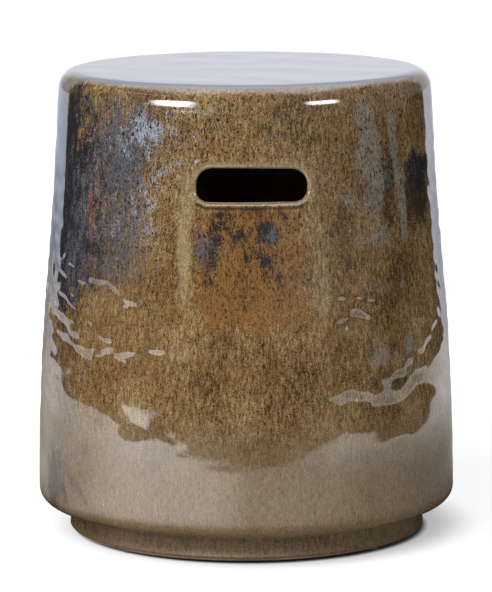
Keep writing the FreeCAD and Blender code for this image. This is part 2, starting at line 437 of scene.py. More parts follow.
@dataclass(frozen=True)
class HandholdForm:
    """Clear opening of a handhold: a rectangle with rounded corners, whose top sags towards the right."""

    half_width: float = 51 * MM
    half_height: float = 16 * MM
    middle: float = 358.5 * MM
    top_corner: float = 15 * MM
    bottom_corner: float = 10.5 * MM
    lip_radius: float = 4.5 * MM
    proud: float = 0.35 * MM
    swell_start: float = 15 * MM
    swell_end: float = 6 * MM
    throat: float = 7 * MM
    sag: float = 1.3 * MM
    sag_reach: float = 20 * MM

    def outline(self, square: Array, reach: float) -> tuple[Array, Array]:
        """Outline that stands a distance outside the clear opening.

        A point of the unit square's border is stretched to the outline's rectangle. Near a corner it is
        moved onto the corner's arc, along the line from the arc's centre.

        Args:
            square: Points on the border of the square from -1 to 1.
            reach: Distance outside the clear opening.

        Returns:
            X and height of each point.
        """
        half = np.array([self.half_width + reach, self.half_height + reach])
        point = square * half
        corner = np.where(square[:, 1] > 0.0, self.top_corner, self.bottom_corner) + reach
        centre = np.sign(point) * (half - corner[:, None])
        away = point - centre
        in_corner = np.all(np.abs(point) > half - corner[:, None] - 1e-9, axis=1)
        length = np.maximum(np.linalg.norm(away, axis=1, keepdims=True), 1e-9)
        rounded = centre + corner[:, None] * away / length
        point = np.where(in_corner[:, None], rounded, point)
        sag = np.where(point[:, 1] > 0.0, ease(point[:, 0], -0.01, 0.05), 0.0) * self.sag
        fade = max(0.0, 1.0 - reach / self.sag_reach)
        return point[:, 0], self.middle + point[:, 1] - sag * fade

    def distance(self, x: Array, height: Array) -> Array:
        """Distance from the clear opening's outline, negative inside: that of a box less its corner radius.

        Args:
            x: X of each point.
            height: Height of each point.

        Returns:
            Distances.
        """
        up = height - self.middle
        corner = np.where(up > 0.0, self.top_corner, self.bottom_corner)
        qx = np.abs(x) - self.half_width + corner
        qz = np.abs(up) - self.half_height + corner
        outside = np.hypot(np.maximum(qx, 0.0), np.maximum(qz, 0.0))
        return outside + np.minimum(np.maximum(qx, qz), 0.0) - corner

    def lip_path(self, thickness: float) -> Array:
        """Cross-section of the rolled lip, inwards: a smooth swell, a quarter circle and a straight throat.

        Args:
            thickness: How far the path lies under the glazed face.

        Returns:
            Distance from the clear opening and lift above the wall, one row for each ring.
        """
        reach = np.linspace(self.swell_start, self.lip_radius, 9)
        swell = self.proud * ease(reach, self.swell_start, self.swell_end)
        land = np.stack([reach, swell - thickness], axis=1)
        turn = np.radians(np.arange(1, 8) * 90.0 / 7.0)
        radius = self.lip_radius - thickness
        roll_centre = self.proud - self.lip_radius
        across, lift = self.lip_radius - radius * np.sin(turn), roll_centre + radius * np.cos(turn)
        roll = np.stack([across, lift], axis=1)
        depth = np.linspace(roll_centre, -self.throat, 4)[1:]
        throat = np.stack([np.full(3, thickness), depth], axis=1)
        return np.concatenate([land, roll, throat])

    def bored_path(self, reach: float) -> Array:
        """Cross-section of a plain hole: one ring at the given distance from the clear opening."""
        return np.array([[reach, 0.0]])


@dataclass
class Shell:
    """Faces and points of a drum sheet with two handholds, kept with the loops that close it."""

    points: Array
    normals: Array
    quads: Array
    first_row: Array
    last_row: Array
    rims: list[Array]


@dataclass(frozen=True)
class PiercedSheet:
    """Drum sheet whose grid opens round each handhold and closes on it in rings of its own."""

    drum: DrumForm = field(default_factory=DrumForm)
    handhold: HandholdForm = field(default_factory=HandholdForm)
    columns: int = 320
    block_columns: int = 23
    band_top: float = 405 * MM
    band_bottom: float = 312 * MM
    band_rows: int = 26
    approach: int = 6

    def rows(self, above: Array, below: Array) -> tuple[Array, int, int]:
        """Joins the runs above and below the handholds with the evenly spaced band between them.

        Args:
            above: Points above the band, as radius and height.
            below: Points below the band.

        Returns:
            All points, and the numbers of the band's first and last row.
        """
        height = np.linspace(self.band_top, self.band_bottom, self.band_rows + 1)
        band = np.stack([self.drum.wall_radius(height), height], axis=1)
        return np.concatenate([above, band, below]), len(above), len(above) + self.band_rows

    def border(self, side: Side, first: int, last: int) -> tuple[Array, Array]:
        """Loop of grid points round one handhold, against the clock from its lower left corner.

        Args:
            side: Which handhold.
            first: Number of the band's first row.
            last: Number of the band's last row.

        Returns:
            Vertex numbers, and the same points on the border of the square from -1 to 1.
        """
        half = self.block_columns
        middle = round(side.value / TURN * self.columns)
        steps = np.arange(-half, half)
        climb = np.arange(last, first, -1)
        column = np.concatenate([steps, np.full(len(climb), half), -steps, np.full(len(climb), -half)])
        row = np.concatenate([np.full(len(steps), last), climb, np.full(len(steps), first), climb[::-1] - 1])
        across = column / half
        up = 1.0 - 2.0 * (row - first) / (last - first)
        return row * self.columns + (middle + column) % self.columns, np.stack([across, up], axis=1)

    def shell(self, profile: Array, first: int, last: int, inset: Array, path: Array) -> Shell:
        """Builds one sheet.

        Args:
            profile: Glazed outline as radius and height, from the top down.
            first: Number of the band's first row.
            last: Number of the band's last row.
            inset: Distance of each row under the glazed outline.
            path: Distance from the clear opening and lift above the sheet, for each ring round a handhold.

        Returns:
            The sheet, with its open loops.
        """
        normals = side_normals(profile)
        base = spin(profile - normals * inset[:, None], self.columns)
        outward = spin(normals, self.columns)
        quads = grid_quads(len(profile), self.columns)
        keep = np.ones(quads.shape[:2], bool)
        points, directions = [base.reshape(-1, 3)], [outward.reshape(-1, 3)]
        faces, rims = [], []
        count = base.shape[0] * base.shape[1]
        sunk = inset[first]
        for side in Side:
            loop, square = self.border(side, first, last)
            middle = round(side.value / TURN * self.columns)
            block = (np.arange(-self.block_columns, self.block_columns) + middle) % self.columns
            keep[np.ix_(np.arange(first, last), block)] = False
            facing = math.cos(side.value)
            start = points[0][loop]
            start_x, start_z = start[:, 0] * facing, start[:, 2]
            end_x, end_z = self.handhold.outline(square, path[0][0])
            share = np.arange(1, self.approach + 1)[:, None] / (self.approach + 1)
            xs = [start_x + (end_x - start_x) * s for s in share]
            zs = [start_z + (end_z - start_z) * s for s in share]
            lifts = [0.0] * self.approach
            for reach, lift in path:
                end_x, end_z = self.handhold.outline(square, reach)
                xs.append(end_x)
                zs.append(end_z)
                lifts.append(lift)
            x, z = np.array(xs), np.array(zs)
            radius = self.drum.wall_radius(z) - sunk
            wall_y = -np.sqrt(radius * radius - x * x)
            y = wall_y - np.array(lifts)[:, None]
            points.append(np.stack([x * facing, y * facing, z], axis=2).reshape(-1, 3))
            across = np.stack([x * facing, wall_y * facing, np.zeros_like(x)], axis=2)
            directions.append((across / radius[:, :, None]).reshape(-1, 3))
            rings = count + np.arange(x.size).reshape(x.shape)
            count += x.size
            loops = [loop, *rings]
            faces += [strip_quads(outer, inner) for outer, inner in zip(loops[:-1], loops[1:])]
            rims.append(rings[-1])
        grid = np.arange(base.shape[0] * base.shape[1]).reshape(base.shape[:2])
        every = np.concatenate([quads[keep], *faces])
        return Shell(np.concatenate(points), np.concatenate(directions), every, grid[0], grid[-1], rims)


def close_shells(outer: Shell, inner: Shell) -> tuple[Array, Array]:
    """Joins an outer and an inner sheet at the rims and at the lowest row, with the inner one turned round.

    Args:
        outer: Sheet that faces out.
        inner: Sheet with the same columns, which is turned to face in.

    Returns:
        Points and quads of both together.
    """
    shift = len(outer.points)
    bridges = [strip_quads(a, b + shift) for a, b in zip(outer.rims, inner.rims)]
    bottom = np.stack([outer.last_row, inner.last_row + shift], axis=0)
    below = np.stack([bottom[0], bottom[1], np.roll(bottom[1], -1), np.roll(bottom[0], -1)], axis=1)
    quads = np.concatenate([outer.quads, inner.quads[:, ::-1] + shift, *bridges, below])
    return np.concatenate([outer.points, inner.points]), quads


# Finishes.


class NodeBoard:
    """Lays the shader nodes of one material, or of the surround, and wires them."""

    def __init__(self, name: str, surround: bool = False) -> None:
        """Starts an empty material or surround.

        Args:
            name: Name of it.
            surround: Whether it is the surround, where place is the direction looked in.
        """
        self.owner = (bpy.data.worlds if surround else bpy.data.materials).new(name)
        self.owner.use_nodes = True
        self.tree = self.owner.node_tree
        self.tree.nodes.clear()
        self.output = self.node("ShaderNodeOutputWorld" if surround else "ShaderNodeOutputMaterial")
        self.place = self.node("ShaderNodeTexCoord").outputs["Generated" if surround else "Object"]

    def node(self, kind: str, **settings: object) -> bpy.types.Node:
        """Adds a node.

        Args:
            kind: Blender's node type.
            **settings: Properties to set on it.

        Returns:
            The node.
        """
        made = self.tree.nodes.new(kind)
        for key, value in settings.items():
            setattr(made, key, value)
        return made

    def feed(self, socket: Socket, value: object) -> None:
        """Wires a socket to another one, or sets its number or colour.

        Args:
            socket: Input to feed.
            value: Output socket, number, or colour.
        """
        if isinstance(value, Socket):
            self.tree.links.new(value, socket)
        elif isinstance(value, tuple) and socket.type == "RGBA":
            socket.default_value = (*value, 1.0)
        else:
            socket.default_value = value

    def stretched(self, drawn: float, shift: float = 0.0) -> Socket:
        """Object coordinates, pressed together upwards so that a pattern is drawn out.

        Args:
            drawn: How much longer than wide the pattern becomes, upwards.
            shift: Move along X, which picks another part of an endless pattern.

        Returns:
            Vector socket.
        """
        mapping = self.node("ShaderNodeMapping")
        self.feed(mapping.inputs["Vector"], self.place)
        mapping.inputs["Scale"].default_value = (1.0, 1.0, 1.0 / drawn)
        mapping.inputs["Location"].default_value = (shift, 0.0, 0.0)
        return mapping.outputs["Vector"]

    def noise(
        self, scale: float, drawn: float = 1.0, detail: float = 2.0, rough: float = 0.5, shift: float = 0.0
    ) -> Socket:
        """Cloudy noise from 0 to 1 round 0.5.

        Args:
            scale: Cells a metre.
            drawn: How much longer than wide its cells are, upwards.
            detail: Octaves.
            rough: Strength of the finer octaves.
            shift: Which part of the endless noise is taken.

        Returns:
            Number socket.
        """
        made = self.node("ShaderNodeTexNoise")
        self.feed(made.inputs["Vector"], self.stretched(drawn, shift))
        made.inputs["Scale"].default_value = scale
        made.inputs["Detail"].default_value = detail
        made.inputs["Roughness"].default_value = rough
        return made.outputs["Fac"]

    def cells(self, scale: float, drawn: float = 1.0) -> Socket:
        """Distance from the nearest of many scattered points, in cells.

        Args:
            scale: Points a metre.
            drawn: Upward stretch.

        Returns:
            Number socket.
        """
        made = self.node("ShaderNodeTexVoronoi")
        self.feed(made.inputs["Vector"], self.stretched(drawn))
        made.inputs["Scale"].default_value = scale
        return made.outputs["Distance"]

    def weight(self, name: str) -> Socket:
        """Number stored at the vertices under a name."""
        return self.node("ShaderNodeAttribute", attribute_name=name).outputs["Fac"]

    def sum(self, kind: str, first: object, second: object, third: object = 0.0) -> Socket:
        """One arithmetic step.

        Args:
            kind: Math node operation.
            first: Number or socket.
            second: Number or socket.
            third: Number or socket, for the operations that take three.

        Returns:
            Number socket.
        """
        made = self.node("ShaderNodeMath", operation=kind)
        for socket, value in zip(made.inputs, (first, second, third)):
            self.feed(socket, value)
        return made.outputs[0]

    def times(self, first: object, second: object) -> Socket:
        """Product of two numbers or sockets."""
        return self.sum("MULTIPLY", first, second)

    def scaled(self, value: object, factor: object, shift: object) -> Socket:
        """Value times factor plus shift."""
        return self.sum("MULTIPLY_ADD", value, factor, shift)

    def centred(self, grain: object) -> Socket:
        """A noise less a half, so that it lies round 0."""
        return self.sum("SUBTRACT", grain, 0.5)

    def split(self) -> list[Socket]:
        """X, Y and Z of the shaded point, or of the direction looked in."""
        parts = self.node("ShaderNodeSeparateXYZ")
        self.feed(parts.inputs[0], self.place)
        return list(parts.outputs)

    def apart(self, spot: Spot) -> Socket:
        """Distance of the shaded point from a fixed one.

        Args:
            spot: The fixed point.

        Returns:
            Number socket.
        """
        made = self.node("ShaderNodeVectorMath", operation="DISTANCE")
        self.feed(made.inputs[0], self.place)
        made.inputs[1].default_value = spot
        return made.outputs["Value"]

    def step(self, value: object, low: float, high: float) -> Socket:
        """Smooth step from 0 at low to 1 at high.

        Args:
            value: Number or socket.
            low: Value that gives 0.
            high: Value that gives 1.

        Returns:
            Number socket.
        """
        made = self.node("ShaderNodeMapRange", interpolation_type="SMOOTHSTEP")
        self.feed(made.inputs["Value"], value)
        falling = low > high
        made.inputs["From Min"].default_value = min(low, high)
        made.inputs["From Max"].default_value = max(low, high)
        made.inputs["To Min"].default_value = 1.0 if falling else 0.0
        made.inputs["To Max"].default_value = 0.0 if falling else 1.0
        return made.outputs["Result"]

    def mix(self, weight: object, under: object, over: object) -> Socket:
        """Mixes two colours.

        Args:
            weight: Share of the second colour.
            under: First colour.
            over: Second colour.

        Returns:
            Colour socket.
        """
        made = self.node("ShaderNodeMix", data_type="RGBA")
        self.feed(made.inputs[0], weight)
        self.feed(made.inputs[6], under)
        self.feed(made.inputs[7], over)
        return made.outputs[2]

    def shade(self, colour: object, factor: object) -> Socket:
        """Colour times a factor.

        Args:
            colour: Colour socket.
            factor: Factor socket.

        Returns:
            Colour socket.
        """
        scaled = self.node("ShaderNodeVectorMath", operation="SCALE")
        self.feed(scaled.inputs[0], colour)
        self.feed(scaled.inputs["Scale"], factor)
        return scaled.outputs[0]

    def broken(self, weight: object, grain: object, amount: float, low: float, high: float) -> Socket:
        """Breaks a soft weight up with a noise and steps it; a weight near zero leaves nothing."""
        shifted = self.scaled(self.centred(grain), amount, weight)
        return self.times(self.step(shifted, low, high), self.step(weight, 0.02, 0.14))

    def bump(self, height: object, distance: float, strength: float = 1.0) -> Socket:
        """Bump from a height.

        Args:
            height: Height socket.
            distance: Height of 1, in metres.
            strength: Share of it that counts.

        Returns:
            Normal socket.
        """
        made = self.node("ShaderNodeBump")
        made.inputs["Strength"].default_value = strength
        made.inputs["Distance"].default_value = distance
        self.feed(made.inputs["Height"], height)
        return made.outputs["Normal"]

    def surface(self, colour: object, rough: object, ior: float, normal: object | None = None) -> Material:
        """Ends the material in one Principled shader.

        Args:
            colour: Base colour.
            rough: Roughness.
            ior: Index of refraction of the surface.
            normal: Normal socket, if any.

        Returns:
            The finished material.
        """
        shader = self.node("ShaderNodeBsdfPrincipled")
        self.feed(shader.inputs["Base Color"], colour)
        self.feed(shader.inputs["Roughness"], rough)
        shader.inputs["IOR"].default_value = ior
        if normal is not None:
            self.feed(shader.inputs["Normal"], normal)
        self.feed(self.output.inputs["Surface"], shader.outputs["BSDF"])
        return self.owner


@dataclass(frozen=True)
class GlazeFinish:
    """Reduction-fired ash glaze: olive, rust and khaki, with dark lustre, grey-blue speckle and pale runs.
    Part of it is painted light: sheen on the runs, a glow under the seat's edge, glints in tiny pits and
    shade on the foot.
    """

    olive_dark: Colour = (0.090, 0.050, 0.016)
    olive: Colour = (0.220, 0.136, 0.054)
    olive_pale: Colour = (0.345, 0.240, 0.112)
    brown: Colour = (0.190, 0.098, 0.036)
    stone: Colour = (0.215, 0.152, 0.088)
    rust: Colour = (0.238, 0.118, 0.035)
    khaki: Colour = (0.330, 0.245, 0.122)
    umber_and_shade: Colour = (0.068, 0.038, 0.019)
    haze: Colour = (0.150, 0.088, 0.088)
    ember: Colour = (0.270, 0.070, 0.032)
    lustre: Colour = (0.028, 0.026, 0.029)
    steel: Colour = (0.100, 0.102, 0.118)
    # Grey-blue speckle colour, also used for a painted highlight glow under the seat's edge.
    mist_and_glow: Colour = (0.330, 0.360, 0.410)
    # Pale run colour, made lighter as painted sheen on the runs' raised edges.
    milky_run_and_sheen: Colour = (0.235, 0.195, 0.140)
    gold: Colour = (0.480, 0.250, 0.070)
    seat: Colour = (0.130, 0.130, 0.165)
    speck: Colour = (0.040, 0.024, 0.014)
    # Near-white of the painted glints in tiny pits of the glaze.
    pinhole_glint: Colour = (0.900, 0.880, 0.820)
    ior: float = 1.98
    rough: float = 0.035

    def make(self) -> Material:
        """Builds the glaze: zones stored at the vertices, each broken up by noises of its own.

        Returns:
            The material.
        """
        board = NodeBoard("ash_glaze")
        cloud = board.noise(21.0, 1.5, 3.0)
        blotch = board.noise(95.0, 1.8, 3.0, 0.6, 1.0)
        smear = board.noise(48.0, 1.7, 4.0, 0.65, 7.0)
        drawn = board.noise(400.0, 3.6, 3.0, 0.65, 2.0)
        grain = board.noise(1450.0, 2.0, 2.0, 0.65, 3.0)
        crumb = board.noise(850.0, 1.4, 3.0, 0.75, 4.0)
        flake = board.noise(900.0, 1.4, 2.0, 0.65, 5.0)
        clump = board.scaled(board.noise(105.0, 1.7, 5.0, 0.72, 8.0), 1.25, -0.625)
        crumb = board.sum("ADD", crumb, clump)
        cluster = board.scaled(board.noise(125.0, 2.2, 5.0, 0.72, 9.0), 1.25, -0.625)
        flake = board.sum("ADD", flake, cluster)

        tone = board.scaled(board.centred(drawn), 0.9, cloud)
        tone = board.scaled(board.centred(grain), 1.0, tone)
        colour = board.mix(board.step(tone, 0.22, 0.52), self.olive_dark, self.olive)
        colour = board.mix(board.step(tone, 0.48, 0.84), colour, self.olive_pale)
        colour = board.mix(board.times(board.step(smear, 0.47, 0.66), 0.55), colour, self.brown)

        layers = [
            ("brown", crumb, 1.0, 0.10, 0.95, self.brown),
            ("stone", cloud, 0.5, 0.00, 1.00, self.stone),
            ("rust", crumb, 1.0, 0.20, 0.80, self.rust),
            ("umber_and_shade", crumb, 1.4, 0.25, 0.95, self.umber_and_shade),
            ("khaki", drawn, 0.7, 0.10, 0.95, self.khaki),
            ("milky_run_and_sheen", blotch, 1.2, 0.25, 0.75, self.milky_run_and_sheen),
            ("haze", crumb, 1.2, 0.20, 1.00, self.haze),
            ("lustre", crumb, 2.4, 0.30, 0.75, self.lustre),
            ("steel", flake, 2.4, 0.35, 0.80, self.steel),
            ("mist_and_glow", crumb, 2.6, 0.55, 0.95, self.mist_and_glow),
            ("ember", flake, 2.4, 0.60, 1.05, self.ember),
            ("gold", flake, 2.6, 0.85, 1.15, self.gold),
        ]
        for name, breaker, amount, low, high, layer in layers:
            colour = board.mix(board.broken(board.weight(name), breaker, amount, low, high), colour, layer)

        calm = board.scaled(board.weight("stone"), -0.85, 1.0)
        mottle = board.times(board.centred(drawn), 1.4)
        mottle = board.scaled(board.centred(grain), 3.1, mottle)
        mottle = board.scaled(mottle, calm, 1.0)
        colour = board.shade(colour, board.sum("MAXIMUM", mottle, 0.35))
        specks = board.step(board.noise(640.0, 2.4, 2.0, 0.6, 6.0), 0.565, 0.625)
        colour = board.mix(board.times(specks, board.weight("specks")), colour, self.speck)
        colour = board.mix(board.broken(board.weight("seat"), blotch, 0.6, 0.2, 0.8), colour, self.seat)
        # Painted glints: rare specks at scattered cells turn near-white, standing for highlights in tiny
        # pits of the glaze.
        pinhole_glint_spots = board.step(board.cells(120.0), 0.065, 0.040)
        rare = board.step(board.noise(23.0), 0.56, 0.66)
        colour = board.mix(board.times(pinhole_glint_spots, rare), colour, self.pinhole_glint)

        skin = board.noise(240.0, 1.2, 2.0)
        dimple = board.scaled(grain, 0.35, skin)
        normal = board.bump(dimple, 0.00002)
        rough = board.scaled(grain, 0.02, self.rough)
        return board.surface(colour, rough, self.ior, normal)


@dataclass(frozen=True)
class ClayFinish:
    """Unglazed fired stoneware with grog and faint toasting."""

    body: Colour = (0.330, 0.215, 0.150)
    toasted: Colour = (0.225, 0.120, 0.072)
    grog: Colour = (0.520, 0.430, 0.350)
    ior: float = 1.5
    rough: float = 0.78

    def make(self) -> Material:
        """Builds the clay.

        Returns:
            The material.
        """
        board = NodeBoard("fired_clay")
        cloud = board.noise(20.0, 1.0, 4.0)
        grit = board.noise(900.0, 1.0, 2.0, 0.7)
        colour = board.mix(board.step(cloud, 0.38, 0.66), self.body, self.toasted)
        grogs = board.step(board.cells(420.0), 0.22, 0.12)
        colour = board.mix(board.times(grogs, 0.55), colour, self.grog)
        rough = board.scaled(grit, 0.18, self.rough)
        return board.surface(colour, rough, self.ior, board.bump(grit, 0.00025))


@dataclass(frozen=True)
class LipFinish:
    """Thin glaze over the clay of a handhold's throat, brown where it breaks over an edge."""

    thin: Colour = (0.135, 0.078, 0.040)
    pooled: Colour = (0.210, 0.160, 0.082)
    ior: float = 1.98
    rough: float = 0.08

    def make(self) -> Material:
        """Builds the throat's glaze.

        Returns:
            The material.
        """
        board = NodeBoard("throat_glaze")
        blotch = board.noise(130.0, 1.4, 3.0)
        grain = board.noise(620.0, 2.0, 2.0)
        colour = board.mix(board.step(blotch, 0.36, 0.64), self.thin, self.pooled)
        rough = board.scaled(grain, 0.08, self.rough)
        return board.surface(colour, rough, self.ior, board.bump(grain, 0.00004))


@dataclass(frozen=True)
class FeltFinish:
    """Pressed wool felt, undyed grey, with loose fibres."""

    wool: Colour = (0.135, 0.130, 0.122)
    fibre: Colour = (0.300, 0.290, 0.275)
    ior: float = 1.45
    rough: float = 0.95

    def make(self) -> Material:
        """Builds the felt.

        Returns:
            The material.
        """
        board = NodeBoard("pressed_felt")
        fibre = board.noise(2200.0, 0.35, 3.0, 0.7)
        colour = board.mix(board.step(fibre, 0.50, 0.70), self.wool, self.fibre)
        rough = board.scaled(fibre, 0.05, self.rough - 0.05)
        return board.surface(colour, rough, self.ior, board.bump(fibre, 0.0002))


# Zones of the glaze.


# Patches of the front face: angle in degrees, height in millimetres, half sizes, strength, power and lean.
ZONES: dict[str, list[tuple[float, ...]]] = {
    "lustre": [
        (-75, 352, 14, 95, 1.1, 4), (-58, 345, 13, 88, 0.86, 4), (-66, 245, 9, 34, 0.50),
        (-12, 303, 3.2, 26, 0.58), (-3, 318, 8, 10, 0.42), (4, 303, 3.0, 24, 0.62),
        (-2, 290, 1.0, 22, 0.45), (15.5, 282, 1.0, 12, 0.40), (60.5, 363, 7.5, 21, 1.1, 4),
        (45, 361, 3.2, 12, 0.62), (-8, 336, 9, 4, 0.40), (-1, 290, 15, 50, 0.17, 4),
        (6, 415, 12, 16, 0.22),
    ],
    "steel": [
        (-50, 348, 17, 84, 0.60, 4), (-37, 350, 9, 84, 0.38, 4), (-33, 400, 12, 30, 0.30),
        (-62, 270, 10, 30, 0.30), (-14.5, 297, 1.6, 16, 0.9), (-11, 300, 4, 26, 0.25),
        (5, 308, 2.0, 9, 0.6), (42, 365, 2.4, 10, 0.6), (46, 352, 2, 8, 0.6), (53.5, 345, 1.8, 6, 0.6),
        (60.5, 366, 5, 13, 0.35), (-62, 130, 14, 100, 0.25),
    ],
    "mist_and_glow": [
        (-33, 405, 9, 22, 0.55), (-31, 399, 6.5, 14, 0.28), (-29, 335, 6.5, 42, 0.40),
        (-26, 382, 7, 42, 0.28), (-42, 312, 7, 45, 0.32), (-45, 400, 8, 25, 0.25),
        # The patch at -24 degrees and 428 mm, just under the seat's edge, is a painted glow: the soft lower
        # tail of the left softbox's highlight.
        (-13, 412, 8, 26, 0.22), (-24, 428, 12, 7, 0.40), (-12.5, 297, 2, 12, 0.25),
    ],
    "ember": [
        (-60.5, 392, 4, 20, 0.72), (-52.0, 325, 3, 28, 0.74), (-52, 405, 2.5, 6, 0.5),
        (-52, 275, 4, 18, 0.40),
    ],
    "gold": [
        (-58, 395, 7, 26, 0.66), (-51, 330, 12, 60, 0.48), (-53, 443, 14, 5, 0.60),
        (-30, 300, 14, 90, 0.34), (-30, 370, 14, 60, 0.30), (-58, 150, 12, 60, 0.25),
        (0, 225, 14, 40, 0.34),
    ],
    "haze": [
        (-60.5, 388, 4, 14, 0.5), (-49.5, 315, 3.5, 22, 0.5), (37, 340, 4.5, 17, 0.7),
        (-14, 312, 3.5, 24, 0.6), (-58, 140, 8, 30, 0.25),
    ],
    "brown": [
        (-36, 215, 19, 80, 0.46, 4), (-30, 370, 10, 70, 0.35, 4),
    ],
    "rust": [
        (-0.8, 290, 17.0, 62, 0.85, 6), (0, 205, 15, 45, 0.30), (-52, 160, 9, 26, 0.50),
        (-24, 265, 6, 60, 0.25),
    ],
    "khaki": [
        (-19.4, 318, 2.4, 66, 0.80, 4), (-19.4, 300, 1.5, 40, 0.25, 4), (-20, 170, 4.5, 80, 0.30),
        (-18.5, 205, 3.8, 6, 0.40), (19.4, 235, 2.8, 115, 0.34, 4), (19.6, 275, 2.8, 40, 0.20),
        (12, 408, 22, 34, 0.28), (0, 205, 14, 22, 0.30, 4),
    ],
    # Milky runs: a paler glaze, painted lighter still to stand for the sheen on their raised edges.
    "milky_run_and_sheen": [
        (35.5, 395, 4.2, 38, 0.85, 4), (39.5, 372, 3.6, 45, 0.75, 4), (37, 338, 3.6, 15, 0.75),
        (47, 418, 2.2, 17, 0.95, 4), (47.4, 385, 2.0, 22, 0.95), (50.5, 356, 2.4, 12, 0.95),
        (51, 320, 1.9, 25, 0.95, 4), (48, 245, 2.4, 62, 0.4), (29.5, 345, 2.4, 12, 0.6),
        (28, 385, 2.0, 8, 0.5), (40, 308, 4.5, 13, 0.8), (32, 302, 3.2, 12, 0.55),
        (38, 195, 4.5, 16, 0.7), (50, 200, 2, 16, 0.6), (30, 190, 5, 10, 0.3),
    ],
    "umber_and_shade": [
        (-50, 340, 17, 92, 0.72, 4), (-66, 190, 12, 90, 0.42, 4), (-67, 62, 7, 32, 1.0),
        (-54, 57, 3, 19, 0.30, 2, -4), (61, 335, 8, 24, 0.85), (48, 330, 17, 95, 0.38, 4),
        (44, 330, 3.4, 30, 0.45), (41, 178, 17, 45, 0.52, 4), (-46, 85, 13, 45, 0.26, 4),
    ],
}


@dataclass(frozen=True)
class GlazeMap:
    """Where each colour of the glaze lies: patches on the front face, mirrored on the rear one."""

    handhold: HandholdForm = field(default_factory=HandholdForm)
    drum: DrumForm = field(default_factory=DrumForm)

    def front_patches(self) -> dict[str, list[Patch]]:
        """Patches of the front face, for each attribute name."""
        return {name: [Patch(*row) for row in rows] for name, rows in ZONES.items()}

    def weights(self, points: Array) -> dict[str, Array]:
        """Weights of every colour at some points of the glaze.

        The points are first shifted by long waves, so that no border runs straight. The rear face takes the
        front patches mirrored about the drum's side, a little shifted.

        Args:
            points: Points, one row each.

        Returns:
            Weight of each colour at each point.
        """
        angle = np.arctan2(points[:, 0], -points[:, 1])
        height = points[:, 2]
        drift = WaveField(0.035, 0.12, 45.0, 90.0, 11)
        ragged = WaveField(0.012, 0.03, 20.0, 60.0, 12)
        near = self.handhold.distance(points[:, 0], height)
        calm = ease(near, 0.0, 0.02)
        swayed = angle + np.radians(0.35) * calm * drift.on_wall(angle, height)
        swayed = swayed + np.radians(0.18) * calm * ragged.on_wall(angle, height)
        raised = height + 4 * MM * calm * drift.on_wall(angle + 1.0, height)
        mirrored = rear_twin(swayed)
        weights = {}
        for name, patches in self.front_patches().items():
            front = sum(patch.weigh(swayed, raised) for patch in patches)
            rear = sum(patch.weigh(mirrored, raised) for patch in patches)
            weights[name] = np.maximum(front, rear)
        radius = np.hypot(points[:, 0], points[:, 1])
        seat = ease(height, self.drum.total_height - 5 * MM, self.drum.total_height - 0.5 * MM)
        rim = np.exp(-(((height - 443 * MM) / (5 * MM)) ** 2)) * ease(radius, 0.15, 0.16)
        lip = ease(near, 11 * MM, 2 * MM) * (radius > 0.15)
        below = ease(height, self.handhold.middle - 14 * MM, self.handhold.middle - 17 * MM)
        lower_edge = below * np.exp(-(((near - 4.5 * MM) / (2.2 * MM)) ** 2))
        foot = ease(height, 13 * MM, 6 * MM)
        footing = ease(height, 30 * MM, 24 * MM)
        for name in weights:
            weights[name] = weights[name] * (1 - seat) * (1 - lip)
        weights["seat"] = seat
        weights["khaki"] += lip * 0.75 * (1 - lower_edge)
        # Dark brown along each handhold's lower edge and on the foot; on the foot above its lowest band it
        # is partly painted shade under the overhanging shoulder.
        weights["umber_and_shade"] += lower_edge + 0.32 * footing * (1 - foot) + 0.15 * foot
        weights["khaki"] += 0.2 * foot
        weights["rust"] += 0.2 * foot
        weights["gold"] += 0.35 * rim + 0.15 * foot
        low = ease(height, 160 * MM, 100 * MM) * (1 - footing)
        weights["stone"] = 0.66 * low + 0.60 * footing
        crowd = 0.40 + 0.60 * ease(height, 200 * MM, 390 * MM)
        banded = np.clip(weights["khaki"], 0.0, 1.0)
        crowd = np.minimum(crowd + 0.35 * weights["rust"], 1.0)
        weights["specks"] = crowd * (1 - 0.8 * seat) * (1 - 0.7 * lip) * (1 - 0.7 * banded)
        return weights


# Sub-assemblies.


@dataclass
class Workshop:
    """Finishes made once and shared by the pieces."""

    glaze: Material
    clay: Material
    lip: Material
    felt: Material

    @classmethod
    def fitted_out(cls) -> "Workshop":
        """Makes every finish."""
        return cls(GlazeFinish().make(), ClayFinish().make(), LipFinish().make(), FeltFinish().make())


def place(piece: Piece, material: Material, slot: Slot, *nodes: str) -> Piece:
    """Gives a piece its finish, rides it on the drum's body and lets it stand for its construction nodes.

    Args:
        piece: Mesh object.
        material: Finish.
        slot: Slot of the record that the finish belongs to; not used.
        *nodes: Names of the nodes that the piece stands for.

    Returns:
        The piece.
    """
    piece.data.materials.append(material)
    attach(piece, BODY)
    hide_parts(*nodes)
    LOG.info("%s: %d vertices, %d faces", piece.name, len(piece.data.vertices), len(piece.data.polygons))
    return piece


